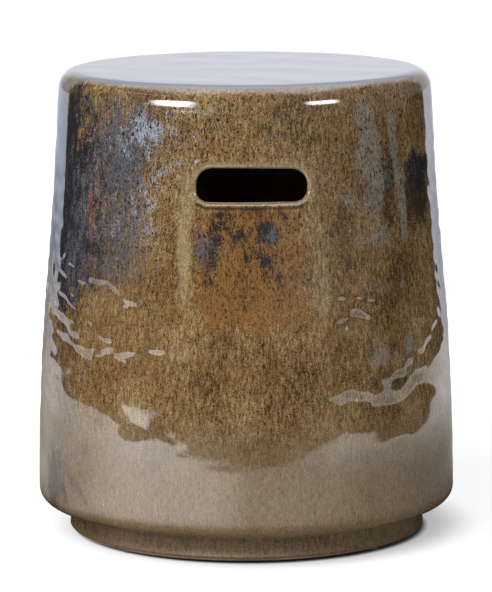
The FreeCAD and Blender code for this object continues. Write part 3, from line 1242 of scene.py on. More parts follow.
# Places that face down: angle in degrees, height in millimetres, half width, half height and climb.
FACING_DOWN = [
    (-54.9, 259, 3.2, 3.2, -0.28), (-47, 263, 4.6, 4.6, -0.47), (-41.5, 255, 2.8, 3.7, -0.9),
    (-36, 247, 2.4, 3.2, -1.05), (-37.6, 242, 1.6, 2.4, -1.0), (-52.8, 250, 1.8, 3.7, -1.0),
    (-61.1, 215, 7.0, 7.4, -1.0), (-45.8, 211, 4.0, 3.7, -0.6), (-46.8, 199, 7.0, 5.0, 0.5),
    (-59.9, 197, 7.5, 5.5, -0.5), (-48.3, 184, 1.8, 2.8, -1.0), (-37, 196, 2.8, 4.4, 1.7),
    (-36.9, 191, 2.2, 3.0, -3.0), (-26.6, 204, 3.0, 2.2, 0.0), (-38.1, 171, 2.2, 4.0, -0.7),
    (-31.6, 136, 5.4, 6.4, -2.4), (-27, 115, 3.4, 6.0, 0.0), (-22.8, 126, 2.2, 2.6, -0.4),
    (-19.9, 116, 2.2, 2.8, 0.5),
    (27.1, 252, 2.6, 3.7, -0.5), (29.7, 242, 3.2, 6.2, -1.4), (32.6, 233, 3.0, 3.7, -0.7),
    (26.0, 231, 3.0, 2.6, 0.85), (36.4, 223, 2.0, 3.7, -2.4), (39, 235, 1.4, 2.4, -0.6),
    (34, 253, 1.9, 2.8, 0.2), (31, 162, 8.0, 7.0, 0.35), (24, 158, 3.0, 4.0, 0.6),
    (-57, 232, 4.0, 3.0, -0.8), (-64, 240, 4.0, 4.0, -1.0), (-52, 222, 3.0, 3.0, -0.8),
    (-65, 205, 4.0, 4.0, -0.6), (-66, 225, 4.0, 5.0, -1.0), (-50, 190, 5.0, 3.0, 0.4),
    (-67, 263, 3.0, 4.0, -0.8), (-63, 273, 3.0, 3.0, -0.6), (-59, 246, 3.0, 3.0, -0.7),
    (41, 170, 8.0, 6.0, 0.8), (50, 182, 8.0, 7.0, 1.0), (51, 162, 6.0, 4.0, 1.2),
    (57, 196, 7.0, 6.0, 1.2), (44, 151, 6.0, 4.0, 1.0), (62, 210, 5.0, 6.0, 1.0),
    (32, 248, 2.0, 2.6, -1.0), (40, 226, 2.2, 2.8, 0.4), (36, 246, 1.6, 2.4, 0.3),
]


@dataclass(frozen=True)
class GlazeSkin:
    """Glaze over seat, wall, lips, shoulder and foot, as one closed skin with its own unevenness."""

    sheet: PiercedSheet = field(default_factory=PiercedSheet)
    thickness: float = 0.9 * MM
    seat_spacing: float = 7 * MM
    wall_spacing: float = 3.4 * MM
    flank_spacing: float = 1.9 * MM
    flank_top: float = 272 * MM
    flank_bottom: float = 178 * MM
    flare: float = 0.7 * MM
    thinning: int = 5
    swell: float = 0.06 * MM
    lump: float = 0.008 * MM
    flank_lump: float = 0.08 * MM
    flank_dent: float = 0.035 * MM
    edge_dent: float = 0.16 * MM
    run: float = 0.20 * MM
    fall: float = 0.85 * MM
    seat_swell: float = 0.10 * MM
    seat_ripple: float = 0.010 * MM

    def profile(self) -> tuple[Array, int, int]:
        """Outline of the glaze: flat seat, quarter-round edge, wall, shoulder, cove and foot.

        Returns:
            Points as radius and height, and the numbers of the first and last row of the handholds' band.
        """
        drum = self.sheet.drum
        neck, belly = drum.neck_radius, drum.belly_radius
        seat_reach = neck - drum.edge_radius
        above = np.concatenate([
            line((4 * MM, drum.total_height), (seat_reach, drum.total_height), self.seat_spacing),
            arc((seat_reach, drum.edge_height), drum.edge_radius, 90.0, 0.0, 13),
            line((neck, drum.edge_height), (neck, drum.neck_height), self.wall_spacing),
            drum.wall_run(drum.neck_height, self.sheet.band_top, self.wall_spacing),
        ])
        shoulder = drum.belly_radius - drum.shoulder_radius
        underside = drum.shoulder_top - drum.shoulder_radius
        cove = (drum.foot_radius - self.flare + drum.cove_radius, underside - drum.cove_radius)
        below = np.concatenate([
            drum.wall_run(self.sheet.band_bottom, self.flank_top, self.wall_spacing)[1:],
            drum.wall_run(self.flank_top, self.flank_bottom, self.flank_spacing),
            drum.wall_run(self.flank_bottom, drum.belly_height, self.wall_spacing),
            line((belly, drum.belly_height), (belly, drum.shoulder_top), self.wall_spacing),
            arc((shoulder, drum.shoulder_top), drum.shoulder_radius, 0.0, -90.0, 9),
            line((shoulder, underside), (cove[0], underside), 3 * MM),
            arc(cove, drum.cove_radius, 90.0, 180.0, 5),
            self.flared_foot(),
        ])
        return self.sheet.rows(above, below)

    def flared_foot(self) -> Array:
        """Outline of the foot: upright under the cove, then a quarter wave outwards to the glaze line.

        Returns:
            Points as radius and height.
        """
        drum = self.sheet.drum
        top = drum.shoulder_top - drum.shoulder_radius - 2.0 * drum.cove_radius
        height = np.concatenate([np.linspace(top, 15 * MM, 4), np.linspace(13 * MM, drum.glaze_line, 5)])
        share = 1.0 - np.sin(0.5 * math.pi * np.clip((height - drum.glaze_line) / (10 * MM), 0.0, 1.0))
        return np.stack([drum.foot_radius - self.flare * (1.0 - share), height], axis=1)

    @staticmethod
    def tilt_needed(angle: float, height: float) -> float:
        """Slope that mirrors the floor: more for higher places, and a little more on the right flank."""
        needed = max(0.015, 0.00125 * (height - 136.0) + (0.012 if angle > 0 else 0.0))
        return needed * (2.1 if angle < 0 else 1.7 if angle < 38 else 1.15)

    def facing_down(self) -> list[Tilt]:
        """Small places that face down, steeper the higher they are, so that they mirror the floor.

        Returns:
            Tilts, with angles in degrees and heights in millimetres.
        """
        return [
            Tilt(angle, height, 1.15 * wide, max(4.8, 1.7 * tall), self.tilt_needed(angle, height), climb)
            for angle, height, wide, tall, climb in FACING_DOWN
        ]

    def unevenness(self, points: Array) -> Array:
        """Height of the glaze over its even form.

        The wall has long shallow swells everywhere, and on its flanks faint lumps, raised runs and places
        that lean up or down. It falls away towards the seat's edge, and the seat has soft swells of its
        own. All of it calms down near a handhold and at the foot.

        Args:
            points: Points of the even form.

        Returns:
            Heights along the normals.
        """
        angle = np.arctan2(points[:, 0], -points[:, 1])
        height = points[:, 2]
        swell = WaveField(0.10, 0.30, 90.0, 60.0, 3).on_wall(angle, height)
        lumps = WaveField(0.022, 0.060, 82.0, 26.0, 5).on_wall(angle, height)
        dents = WaveField(0.014, 0.030, 60.0, 80.0, 8).on_wall(angle, height)
        stray = WaveField(0.016, 0.045, 20.0, 90.0, 9).on_wall(angle, height)
        flanks = [
            Patch(-54, 190, 17, 85, 1.0, 4), Patch(45, 200, 19, 90, 0.8, 4),
            Patch(-86, 260, 22, 170, 0.9, 4), Patch(88, 260, 20, 170, 0.8, 4),
            Patch(50, 350, 14, 60, 0.30, 4),
        ]
        edges = [Patch(-78, 235, 12, 90, 1.0, 4), Patch(80, 290, 13, 130, 1.0, 4)]
        leans = [
            Tilt(-32, 124, 8.0, 25, -0.040),
            Tilt(36, 134, 12.0, 21, -0.034),
            Tilt(64, 172, 17.0, 34, 0.085),
            Tilt(43, 122, 5.0, 7, -0.030, 0.6),
            Tilt(46, 159, 11.0, 20, 0.085, 0.9),
            Tilt(-8, 96, 5.0, 3.0, -0.018),
            Tilt(10, 97, 3.0, 2.6, -0.015),
        ]
        swayed = angle + math.radians(0.5) * stray
        lifted = height + 0.9 * MM * dents
        wall = np.zeros(len(points))
        for at, bent in ((angle, swayed), (rear_twin(angle), rear_twin(swayed))):
            uneven = sum(patch.weigh(at, height) for patch in flanks)
            raised = sum(run.weigh(at, height) for run in GlazeMap().front_patches()["milky_run_and_sheen"])
            beside = sum(patch.weigh(at, height) for patch in edges)
            wall += uneven * (self.flank_lump * lumps + self.flank_dent * dents)
            wall += self.run * np.minimum(raised, 1.0) + beside * self.edge_dent * dents
            wall += sum(tilt.rise(bent, height) for tilt in leans)
            wall += sum(tilt.rise(bent, lifted) for tilt in self.facing_down()) * (1.0 + 0.3 * stray)
        near = self.sheet.handhold.distance(points[:, 0], height)
        calm = ease(near, 4 * MM, 24 * MM)
        wall += self.swell * swell + self.lump * lumps
        drum = self.sheet.drum
        edge = -self.fall * ease(height, drum.edge_height - 11 * MM, drum.edge_height + 5 * MM)
        on_seat = ease(height, drum.edge_height + 4 * MM, drum.total_height - 1 * MM)
        seat = WaveField(0.045, 0.13, 0.0, 180.0, 21).on_plane(points[:, 0], points[:, 1])
        fine = WaveField(0.012, 0.03, 0.0, 180.0, 22).on_plane(points[:, 0], points[:, 1])
        top = self.seat_swell * seat + self.seat_ripple * fine
        low = ease(height, 8 * MM, 40 * MM)
        return ((wall * calm + edge) * (1 - on_seat) + top * on_seat) * low

    def build(self, shop: Workshop) -> Piece:
        """Builds and dresses the skin.

        Args:
            shop: Finishes.

        Returns:
            The piece.
        """
        profile, first, last = self.profile()
        hold = self.sheet.handhold
        outer = self.sheet.shell(profile, first, last, np.zeros(len(profile)), hold.lip_path(0.0))
        kept = np.array([
            row for row in range(len(profile))
            if first <= row <= last or row % self.thinning == 0 or row == len(profile) - 1
        ])
        thin_first = int(np.searchsorted(kept, first))
        thin_last = int(np.searchsorted(kept, last))
        inner_inset = np.full(len(kept), self.thickness)
        inner_path = hold.lip_path(self.thickness)
        inner = self.sheet.shell(profile[kept], thin_first, thin_last, inner_inset, inner_path)
        for shell in (outer, inner):
            shell.points += shell.normals * self.unevenness(shell.points)[:, None]
        points, quads = close_shells(outer, inner)
        top = self.sheet.drum.total_height
        hubs = np.array([[0.0, 0.0, top], [0.0, 0.0, top - self.thickness]])
        hubs[:, 2] += self.unevenness(hubs)
        count = len(points)
        inner_top = inner.first_row[::-1] + len(outer.points)
        caps = np.concatenate([fan(count, outer.first_row), fan(count + 1, inner_top)])
        piece = lay_mesh("glaze_skin", np.concatenate([points, hubs]), quads, caps)
        write_weights(piece, GlazeMap().weights(points_of(piece)))
        return place(piece, shop.glaze, Slot.GLAZE, "glaze_coat")


@dataclass(frozen=True)
class ThrownClay:
    """Clay body under the glaze: drum wall, seat slab, base ledge, foot and the two joint coils."""

    sheet: PiercedSheet = field(default_factory=lambda: PiercedSheet(columns=240, block_columns=18))
    gap: float = 2 * MM
    glaze: float = 1 * MM
    wall: float = 10 * MM
    hole_reach: float = 9 * MM
    columns: int = 192
    seat_underside: float = 435 * MM
    base_top: float = 42 * MM
    base_opening: float = 138 * MM
    foot_inside: float = 155 * MM
    foot_bottom: float = 2.5 * MM
    coil: float = 9 * MM

    def throwing_rings(self, points: Array, depth: float) -> Array:
        """Spiral finger marks: a cosine of height over the pitch plus the angle, with a slow swell.

        Args:
            points: Points of the even form.
            depth: Half height of a ring.

        Returns:
            Heights of the marks.
        """
        angle = np.arctan2(points[:, 0], -points[:, 1])
        wander = WaveField(0.05, 0.2, 90.0, 50.0, 31).on_wall(angle, points[:, 2])
        rings = np.cos(TURN * points[:, 2] / (13 * MM) + angle + 0.8 * wander)
        return depth * (0.75 * rings + 0.25 * wander)

    def drum_wall(self, shop: Workshop) -> Piece:
        """Builds the wall as two pierced sheets, smooth outside and ringed inside.

        Args:
            shop: Finishes.

        Returns:
            The piece.
        """
        drum = self.sheet.drum
        above = drum.wall_run(drum.neck_height, self.sheet.band_top, 5 * MM)
        below = drum.wall_run(self.sheet.band_bottom, drum.belly_height, 3.4 * MM)[1:]
        end = np.array([[drum.belly_radius, drum.belly_height]])
        profile, first, last = self.sheet.rows(above, np.concatenate([below, end]))
        bored = self.sheet.handhold.bored_path(self.hole_reach + 0.3 * MM)
        outer = self.sheet.shell(profile, first, last, np.full(len(profile), self.gap), bored)
        inner = self.sheet.shell(profile, first, last, np.full(len(profile), self.glaze + self.wall), bored)
        marks = self.throwing_rings(inner.points, 0.55 * MM)
        ends = ease(inner.points[:, 2], drum.belly_height, drum.belly_height + 12 * MM)
        ends = ends * ease(inner.points[:, 2], drum.neck_height, drum.neck_height - 12 * MM)
        inner.points += inner.normals * (marks * ends)[:, None]
        points, quads = close_shells(outer, inner)
        shift = len(outer.points)
        top = np.stack([
            inner.first_row + shift, outer.first_row,
            np.roll(outer.first_row, -1), np.roll(inner.first_row, -1) + shift,
        ], axis=1)
        piece = lay_mesh("thrown_drum_wall", points, np.concatenate([quads, top]))
        return place(piece, shop.clay, Slot.CLAY, "drum_wall")

    def turned(self, name: str, node: str, profile: Array, marks: float, shop: Workshop) -> Piece:
        """Builds a closed turned piece from a profile that goes once round its section.

        Args:
            name: Name of the piece.
            node: Construction node it stands for.
            profile: Points as radius and height, clockwise with the radius to the right.
            marks: Depth of the finger marks.
            shop: Finishes.

        Returns:
            The piece.
        """
        spun = spin(profile, self.columns)
        points = spun.reshape(-1, 3)
        angle = np.arctan2(points[:, 0], -points[:, 1])
        radius = np.hypot(points[:, 0], points[:, 1])
        wave = WaveField(0.03, 0.12, 30.0, 60.0, len(name)).on_wall(angle, points[:, 2] + radius)
        narrower = 1.0 - marks * (0.5 + 0.5 * np.tanh(wave)) / np.maximum(radius, 0.05)
        points = points * narrower[:, None] ** [1, 1, 0]
        quads = grid_quads(len(profile), self.columns, closed=True)
        piece = lay_mesh(name, points, quads)
        return place(piece, shop.clay, Slot.CLAY, node)

    def seat_slab(self, shop: Workshop) -> Piece:
        """Builds the slab: flat top under the glaze, rounded edge, short rim and a hand-smoothed underside.

        Args:
            shop: Finishes.

        Returns:
            The piece.
        """
        drum = self.sheet.drum
        reach = drum.neck_radius - drum.edge_radius
        outside = drum.neck_radius - self.gap
        inside = drum.neck_radius - self.glaze - self.wall
        top = drum.total_height - self.gap
        profile = np.concatenate([
            line((8 * MM, top), (reach, top), 9 * MM),
            arc((reach, drum.edge_height), drum.edge_radius - self.gap, 90.0, 0.0, 8),
            line((outside, drum.edge_height), (outside, drum.neck_height), 6 * MM),
            line((outside, drum.neck_height), (inside, drum.neck_height), 6 * MM),
            line((inside, drum.neck_height), (inside, self.seat_underside - 2 * MM), 5 * MM),
            arc((inside - 2 * MM, self.seat_underside - 2 * MM), 2 * MM, 0.0, 90.0, 3)[:1],
            line((inside - 2 * MM, self.seat_underside), (8 * MM, self.seat_underside), 6 * MM),
            np.array([[8 * MM, self.seat_underside]]),
        ])
        points = spin(profile, self.columns).reshape(-1, 3)
        radius = np.hypot(points[:, 0], points[:, 1])
        on_underside = points[:, 2] < self.seat_underside + 1 * MM
        under = on_underside * ease(radius, inside - 2 * MM, inside - 20 * MM)
        spiral = np.cos(TURN * radius / (15 * MM) - np.arctan2(points[:, 0], -points[:, 1]))
        points[:, 2] += under * 0.45 * MM * (0.5 + 0.5 * spiral)
        hubs = np.array([[0.0, 0.0, top], [0.0, 0.0, self.seat_underside + 0.3 * MM]])
        piece = lay_capped("seat_slab_clay", points.reshape(-1, self.columns, 3), hubs)
        return place(piece, shop.clay, Slot.CLAY, "seat_slab")

    def base_ring(self, shop: Workshop) -> Piece:
        """Builds the ledge: short rim, rounded shoulder, flat underside and a softened opening.

        Args:
            shop: Finishes.

        Returns:
            The piece.
        """
        drum = self.sheet.drum
        outside = drum.belly_radius - self.gap
        inside = drum.belly_radius - self.glaze - self.wall
        bottom = drum.shoulder_top - drum.shoulder_radius + self.glaze
        corner = 3 * MM
        shoulder = (drum.belly_radius - drum.shoulder_radius, drum.shoulder_top)
        profile = np.concatenate([
            arc((self.base_opening + corner, self.base_top - corner), corner, 180.0, 90.0, 4),
            line((self.base_opening + corner, self.base_top), (inside, self.base_top), 6 * MM),
            line((inside, self.base_top), (inside, drum.belly_height), 5 * MM),
            line((inside, drum.belly_height), (outside, drum.belly_height), 5 * MM),
            line((outside, drum.belly_height), (outside, drum.shoulder_top), 5 * MM),
            arc(shoulder, drum.shoulder_radius - self.gap, 0.0, -90.0, 7),
            line((shoulder[0], bottom), (self.base_opening + corner, bottom), 6 * MM),
            arc((self.base_opening + corner, bottom + corner), corner, 270.0, 180.0, 4),
        ])
        return self.turned("base_ring_clay", "base_ring", profile, 0.4 * MM, shop)

    def foot_ring(self, shop: Workshop) -> Piece:
        """Builds the foot: upright ring with a wiped, rounded lower edge, bare below the glaze line.

        Args:
            shop: Finishes.

        Returns:
            The piece.
        """
        drum = self.sheet.drum
        outside = drum.foot_radius - self.glaze
        top = drum.shoulder_top - drum.shoulder_radius + self.glaze
        edge = 2 * MM
        profile = np.concatenate([
            line((self.foot_inside, top), (outside - 2.6 * MM, top), 4 * MM),
            line((outside - 2.6 * MM, top), (outside - 2.6 * MM, 15 * MM), 4 * MM),
            line((outside - 2.6 * MM, 15 * MM), (outside, drum.glaze_line), 4 * MM),
            line((outside, drum.glaze_line), (outside, self.foot_bottom + edge), 1 * MM),
            arc((outside - edge, self.foot_bottom + edge), edge, 0.0, -90.0, 5),
            line((outside - edge, self.foot_bottom), (self.foot_inside + edge, self.foot_bottom), 3 * MM),
            arc((self.foot_inside + edge, self.foot_bottom + edge), edge, 270.0, 180.0, 4),
            line((self.foot_inside, self.foot_bottom + edge), (self.foot_inside, top), 5 * MM),
        ])
        return self.turned("foot_ring_clay", "foot_ring", profile, 0.15 * MM, shop)

    def joint_coil(self, name: str, node: str, corner: Point, up: float, shop: Workshop) -> Piece:
        """Builds a coil pressed into an inside corner, its hollow face dented by the thumb at even steps.

        The face is a quarter circle about the corner's opposite, pushed in by a squared cosine of the angle.

        Args:
            name: Name of the piece.
            node: Construction node it stands for.
            corner: Corner it fills, as radius and height.
            up: 1 above a ledge, -1 below one.
            shop: Finishes.

        Returns:
            The piece.
        """
        reach = self.coil
        turn = np.radians(np.linspace(0.0, 90.0, 9))
        face_r = corner[0] - reach + reach * np.sin(turn)
        face_z = corner[1] + up * (reach - reach * np.cos(turn))
        section = np.concatenate([np.stack([face_r, face_z], axis=1), [[corner[0], corner[1]]]])
        section = section[::-1] if up > 0 else section
        points = spin(section, self.columns)
        angle = np.arange(self.columns) * TURN / self.columns
        face = np.zeros(len(section))
        face[1:-1] = 1.0
        face[np.argmin(np.abs(section - np.array(corner)).sum(axis=1))] = 0.0
        dent = face[:, None] * 0.7 * MM * np.cos(angle * 14.0)[None, :] ** 2
        radius = np.maximum(np.hypot(points[:, :, 0], points[:, :, 1]), 1e-6)
        points[:, :, :2] *= (1.0 + dent / radius)[:, :, None]
        quads = grid_quads(len(section), self.columns, closed=True)
        piece = lay_mesh(name, points.reshape(-1, 3), quads)
        return place(piece, shop.clay, Slot.CLAY, node)

    def build(self, shop: Workshop) -> None:
        """Builds every clay piece.

        Args:
            shop: Finishes.
        """
        drum = self.sheet.drum
        self.drum_wall(shop)
        self.seat_slab(shop)
        self.base_ring(shop)
        self.foot_ring(shop)
        cover = self.glaze + self.wall
        under_seat = (drum.neck_radius - cover, self.seat_underside)
        on_ledge = (drum.belly_radius - cover, self.base_top)
        self.joint_coil("seat_coil", "seat_joint_coil", under_seat, -1.0, shop)
        self.joint_coil("base_coil", "base_joint_coil", on_ledge, 1.0, shop)


@dataclass(frozen=True)
class HandholdLip:
    """Ring of clay that lines a handhold, rounded at both ends of its throat."""

    drum: DrumForm = field(default_factory=DrumForm)
    handhold: HandholdForm = field(default_factory=HandholdForm)
    band: float = 9 * MM
    cover: float = 0.9 * MM
    depth: float = 14 * MM
    back_radius: float = 3 * MM
    steps: int = 40

    def section(self) -> Array:
        """Section of the ring: over the mouth under the glaze, along the throat, round the back and out.

        Returns:
            Distance from the clear opening and lift above the wall, one row for each ring of points.
        """
        mouth = self.handhold.lip_path(self.cover)
        front = mouth[mouth[:, 0] <= self.band]
        end = [0.2 * MM, -self.depth + self.back_radius]
        throat = np.array([[self.cover, -8 * MM], [0.3 * MM, -9 * MM], end])
        turn = np.radians(np.arange(1, 7) * 15.0)
        back = np.stack([
            self.back_radius * (1.0 - np.cos(turn)) + 0.2 * MM,
            -self.depth + self.back_radius * (1.0 - np.sin(turn)),
        ], axis=1)
        outside = np.array([[self.band, -down] for down in (self.depth, self.depth / 2, self.cover)])
        return np.concatenate([front, throat, back, outside])

    def build(self, side: Side, shop: Workshop) -> Piece:
        """Builds and dresses the ring: the section carried round the opening, on the curve of the wall.

        Args:
            side: Which handhold.
            shop: Finishes.

        Returns:
            The piece.
        """
        run = np.linspace(-1.0, 1.0, self.steps, endpoint=False)
        one = np.ones(self.steps)
        square = np.concatenate([
            np.stack([run, -one], axis=1), np.stack([one, run], axis=1),
            np.stack([-run, one], axis=1), np.stack([-one, -run], axis=1),
        ])
        rings = []
        for reach, lift in self.section():
            x, z = self.handhold.outline(square, reach)
            radius = self.drum.wall_radius(z)
            rings.append(np.stack([x, -np.sqrt(radius * radius - x * x) - lift, z], axis=1))
        points = np.array(rings)
        points[:, :, :2] *= math.cos(side.value)
        indices = np.arange(points.shape[0] * points.shape[1]).reshape(points.shape[:2])
        loops = [*indices, indices[0]]
        quads = np.concatenate([strip_quads(a, b) for a, b in zip(loops[:-1], loops[1:])])
        name = "front_lip" if side is Side.FRONT else "rear_lip"
        node = "front_collar" if side is Side.FRONT else "rear_collar"
        piece = lay_mesh(name, points.reshape(-1, 3), quads)
        return place(piece, shop.lip, Slot.GLAZE, node)


@dataclass(frozen=True)
class FloorPads:
    """Felt discs under the foot, with soft edges and a slightly uneven rim."""

    count: int = 4
    edge: float = 0.7 * MM
    columns: int = 40

    def build(self, shop: Workshop) -> None:
        """Builds every pad where its construction node is.

        Args:
            shop: Finishes.
        """
        for index in range(1, self.count + 1):
            node = f"floor_pad_{index}"
            low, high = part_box(node)
            middle = np.array([(low[0] + high[0]) / 2, (low[1] + high[1]) / 2, 0.0])
            radius = (high[0] - low[0]) / 2
            profile = np.concatenate([
                line((radius * 0.15, high[2]), (radius - self.edge, high[2]), 1.2 * MM),
                arc((radius - self.edge, high[2] - self.edge), self.edge, 90.0, 0.0, 4),
                arc((radius - self.edge, low[2] + self.edge), self.edge, 0.0, -90.0, 4),
                line((radius - self.edge, low[2]), (radius * 0.15, low[2]), 1.2 * MM),
                np.array([[radius * 0.15, low[2]]]),
            ])
            points = spin(profile, self.columns)
            angle = np.arange(self.columns) * TURN / self.columns
            uneven = 1.0 - 0.012 * (1.0 + np.cos(3.0 * angle + index) * np.cos(7.0 * angle))
            points[:, :, :2] *= uneven[None, :, None]
            hubs = np.array([[0.0, 0.0, high[2]], [0.0, 0.0, low[2]]]) + middle
            piece = lay_capped(f"felt_pad_{index}", points + middle, hubs)
            place(piece, shop.felt, Slot.FELT, node)


# Studio.


@dataclass(frozen=True)
class Studio:
    """Pale floor, white surround, soft light from the upper left and the camera."""

    azimuth: float = -2.06
    distance: float = 3.511
    height: float = 0.7985
    tilt: float = 9.253
    roll: float = -0.252
    pan: float = -0.0063
    lens: float = 222.05
    sensor: float = 36.0
    sky: float = 0.50
    sun: float = 2.45
    sun_angle: float = 50.0
    sun_tilt: float = 49.0
    sun_turn: float = -41.0
    floor_colour: Colour = (0.23, 0.23, 0.23)
    floor_glow: float = 0.84
    floor_half: float = 14.0
    near_tint: Colour = (1.0, 0.98, 0.95)
    far_tint: Colour = (0.92, 1.0, 1.18)
    shadow_middle: Spot = (0.019, 0.012, 0.0)
    table_left: float = 1.22
    table_right: float = 0.96
    table_front: float = 0.88
    table_spread: float = 0.87
    backdrop: Colour = (0.970, 0.985, 1.060)
    panel_aim: float = 0.4

    def camera(self) -> None:
        """Sets the camera up: turned to its azimuth, tilted down, then rolled about its own axis."""
        data = bpy.data.cameras.new("studio_camera")
        data.lens = self.lens
        data.sensor_width = self.sensor
        data.clip_start, data.clip_end = 0.1, 50.0
        camera = bpy.data.objects.new("studio_camera", data)
        turn = math.radians(self.azimuth)
        spot = (self.distance * math.sin(turn), -self.distance * math.cos(turn), self.height)
        aim = Matrix.Rotation(turn + math.radians(self.pan), 4, "Z")
        down = Matrix.Rotation(math.radians(90.0 - self.tilt), 4, "X")
        roll = Matrix.Rotation(math.radians(self.roll), 4, "Z")
        camera.matrix_world = Matrix.Translation(spot) @ aim @ down @ roll
        bpy.context.scene.collection.objects.link(camera)
        bpy.context.scene.camera = camera

    def panel(self, name: str, middle: Spot, width: float, height: float, glow: float) -> None:
        """Sets up a lit panel that faces the drum and shows only in its gloss.

        Args:
            name: Name of the panel.
            middle: Its middle.
            width: Width.
            height: Height.
            glow: Brightness, where 1 is white.
        """
        board = NodeBoard(name)
        glowing = board.node("ShaderNodeEmission")
        soft = board.step(board.apart(middle), 0.52 * width, 0.26 * width)
        board.feed(glowing.inputs["Strength"], board.times(soft, glow))
        board.feed(board.output.inputs["Surface"], glowing.outputs["Emission"])
        aim = -np.array([middle[0], middle[1], middle[2] - self.panel_aim])
        aim = aim / np.linalg.norm(aim)
        right = np.cross(aim, [0.0, 0.0, 1.0])
        right = right / np.linalg.norm(right)
        up = np.cross(right, aim)
        signs = ((-1, -1), (-1, 1), (1, 1), (1, -1))
        corners = [np.array(middle) + a * right * width / 2 + b * up * height / 2 for a, b in signs]
        mesh = bpy.data.meshes.new(name)
        mesh.from_pydata([list(c) for c in corners], [], [[0, 1, 2, 3]])
        mesh.materials.append(board.owner)
        panel = bpy.data.objects.new(name, mesh)
        panel.visible_camera = False
        panel.visible_diffuse = False
        panel.visible_shadow = False
        bpy.context.scene.collection.objects.link(panel)

    def sunlight(self) -> None:
        """Adds the one large soft lamp, which gloss doesn't mirror."""
        lamp = bpy.data.lights.new("soft_key", "SUN")
        lamp.energy = self.sun
        lamp.angle = math.radians(self.sun_angle)
        key = bpy.data.objects.new("soft_key", lamp)
        key.rotation_euler = (math.radians(self.sun_tilt), 0.0, math.radians(self.sun_turn))
        key.visible_glossy = False
        bpy.context.scene.collection.objects.link(key)

    def surround(self) -> None:
        """Sets the surround: white to the camera, and even light on all that isn't gloss.

        The gloss sees a white backdrop low behind the drum, dimmer at its sides, a white ceiling that is
        brightest overhead, and near dark elsewhere, a little lighter on the right.
        """
        board = NodeBoard("studio_surround", surround=True)
        ray = board.node("ShaderNodeLightPath")
        x, y, z = board.split()
        squared = board.scaled(board.times(z, -1.0), z, 1.0)
        level = board.sum("SQRT", board.sum("MAXIMUM", squared, 0.0001), 0.0)
        behind = board.step(board.sum("DIVIDE", y, level), 0.70, 0.80)
        backdrop = board.times(behind, board.step(z, 0.50, 0.34))
        narrow = board.step(board.sum("ABSOLUTE", x, 0.0), 0.74, 0.40)
        overhead = board.times(board.step(y, -0.75, -0.05), board.step(z, 0.20, 0.55))
        high = board.scaled(board.step(z, 0.62, 0.84), 0.85, 1.0)
        ceiling = board.times(board.times(narrow, overhead), high)
        sides = board.scaled(board.step(board.sum("ABSOLUTE", x, 0.0), 0.10, 0.45), -0.4, 1.0)
        white = board.sum("MAXIMUM", board.times(backdrop, sides), ceiling)
        mirrored = board.scaled(board.step(x, -0.10, 0.50), 0.13, 0.02)
        mirrored = board.scaled(white, 0.97, mirrored)
        extra = board.sum("SUBTRACT", mirrored, self.sky)
        strength = board.scaled(ray.outputs["Is Glossy Ray"], extra, self.sky)
        back = board.node("ShaderNodeBackground")
        back.inputs["Color"].default_value = (*self.backdrop, 1.0)
        board.feed(back.inputs["Strength"], strength)
        plain = board.node("ShaderNodeBackground")
        plain.inputs["Strength"].default_value = 1.0
        plain.inputs["Color"].default_value = (1.0, 1.0, 1.0, 1.0)
        choose = board.node("ShaderNodeMixShader")
        board.feed(choose.inputs[0], ray.outputs["Is Camera Ray"])
        board.feed(choose.inputs[1], back.outputs[0])
        board.feed(choose.inputs[2], plain.outputs[0])
        board.feed(board.output.inputs["Surface"], choose.outputs[0])
        bpy.context.scene.world = board.owner

    def floor(self) -> None:
        """Lays the floor: pale and shaded to the camera, with a painted shadow by the foot, and in the gloss
        a glowing, crisp table top.

        The table top spreads out behind the drum. Its light and shade are painted into its glow: brightest
        in a pool at the front left, dimmer to the right and behind, and dark under the drum and close to its
        foot.
        """
        board = NodeBoard("studio_floor")
        ray = board.node("ShaderNodeLightPath")
        x, y, _ = board.split()
        wide = board.sum("MAXIMUM", board.times(y, self.table_spread), self.table_left)
        left = board.step(board.sum("ADD", x, wide), -0.03, 0.02)
        narrow = board.sum("MAXIMUM", board.times(y, self.table_spread), self.table_right)
        right = board.step(board.sum("SUBTRACT", x, narrow), 0.03, -0.02)
        front = board.step(y, -self.table_front, 0.03 - self.table_front)
        top = board.times(board.times(left, right), front)
        reach = board.apart((0.0, 0.0, 0.0))
        east = board.sum("DIVIDE", x, reach)
        ahead = board.sum("DIVIDE", y, reach)
        south = board.scaled(ahead, -0.72, board.times(east, -0.69))
        # Painted light: a bright pool at the front left; below, painted dimming to the right and behind, and
        # painted shade near the foot.
        pool = board.times(board.step(south, 0.66, 1.0), 1.05)
        right_dim = board.scaled(board.step(east, 0.35, 0.95), -0.62, 1.0)
        north = board.step(ahead, 0.60, 0.90)
        west = board.step(east, 0.05, -0.15)
        near = board.step(reach, 4.0, 1.8)
        back_left = board.times(board.times(north, west), board.times(near, -0.50))
        back_right = board.times(north, board.scaled(west, 0.25, -0.25))
        back_dim = board.sum("ADD", board.sum("ADD", back_left, back_right), 1.0)
        shade = board.scaled(board.times(right_dim, back_dim), 0.58, pool)
        flank = board.step(board.sum("ABSOLUTE", east, 0.0), 0.35, 0.80)
        far = board.times(board.step(reach, 0.50, 1.10), flank)
        farther = board.scaled(board.step(east, 0.0, 0.3), 0.30, 0.52)
        shade = board.scaled(far, farther, shade)
        distant = board.times(board.step(reach, 2.0, 5.0), north)
        shade = board.scaled(distant, 0.30, shade)
        shade = board.times(shade, board.step(reach, 0.20, 0.46))
        lit = board.scaled(board.times(top, shade), 0.98, 0.015)
        mirror = board.node("ShaderNodeEmission")
        tint = board.mix(board.step(reach, 0.7, 2.0), self.near_tint, self.far_tint)
        board.feed(mirror.inputs["Color"], tint)
        board.feed(mirror.inputs["Strength"], lit)
        diffuse = board.node("ShaderNodeBsdfDiffuse")
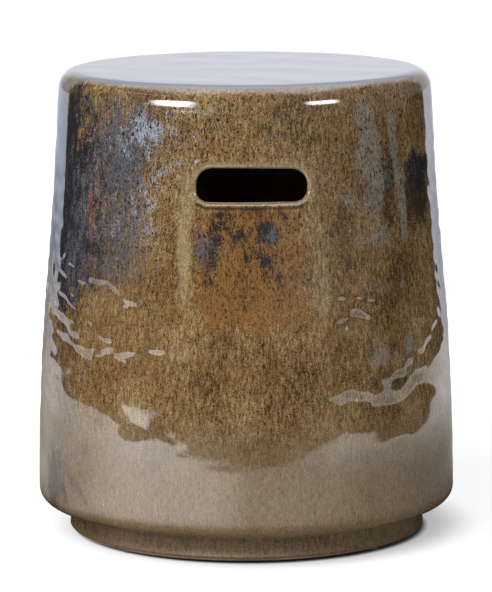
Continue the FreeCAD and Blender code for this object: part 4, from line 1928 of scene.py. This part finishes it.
        diffuse.inputs["Color"].default_value = (*self.floor_colour, 1.0)
        glow = board.node("ShaderNodeEmission")
        seen = board.scaled(ray.outputs["Is Diffuse Ray"], 0.5, ray.outputs["Is Camera Ray"])
        # Painted shadow: the glow is halved in a soft round patch beside the foot and gone in a thin ring
        # right under it.
        soft = board.scaled(board.step(board.apart(self.shadow_middle), 0.160, 0.216), 0.50, 0.50)
        contact_shadow = board.step(board.scaled(east, -0.004, reach), 0.167, 0.176)
        glow_outside_painted_shadow = board.times(board.times(soft, contact_shadow), self.floor_glow)
        board.feed(glow.inputs["Strength"], board.times(seen, glow_outside_painted_shadow))
        add = board.node("ShaderNodeAddShader")
        board.feed(add.inputs[0], diffuse.outputs[0])
        board.feed(add.inputs[1], glow.outputs[0])
        choose = board.node("ShaderNodeMixShader")
        board.feed(choose.inputs[0], ray.outputs["Is Glossy Ray"])
        board.feed(choose.inputs[1], add.outputs[0])
        board.feed(choose.inputs[2], mirror.outputs[0])
        board.feed(board.output.inputs["Surface"], choose.outputs[0])
        mesh = bpy.data.meshes.new("studio_floor")
        half = self.floor_half
        corners = [[-half, -half, 0.0], [half, -half, 0.0], [half, half, 0.0], [-half, half, 0.0]]
        mesh.from_pydata(corners, [], [[0, 1, 2, 3]])
        mesh.materials.append(board.owner)
        ground = bpy.data.objects.new("studio_floor", mesh)
        bpy.context.scene.collection.objects.link(ground)

    def build(self) -> None:
        """Sets up camera, floor, surround and lights."""
        self.camera()
        self.floor()
        self.surround()
        self.sunlight()
        self.panel("left_softbox", (-1.75, -1.75, 0.87), 1.50, 0.66, 9.0)
        self.panel("right_softbox", (1.85, -1.85, 0.86), 1.20, 0.50, 9.0)
        self.panel("left_strip", (-1.70, -0.60, 1.65), 1.5, 0.04, 4.0)
        bpy.context.scene.view_settings.view_transform = "Standard"


def main() -> None:
    """Builds the stool from the glaze inwards, then the studio, and reports each piece."""
    logging.basicConfig(level=logging.INFO, format="%(name)s: %(message)s")
    shop = Workshop.fitted_out()
    GlazeSkin().build(shop)
    ThrownClay().build(shop)
    for side in Side:
        HandholdLip().build(side, shop)
    FloorPads().build(shop)
    Studio().build()


if __name__ == "__main__":
    main()
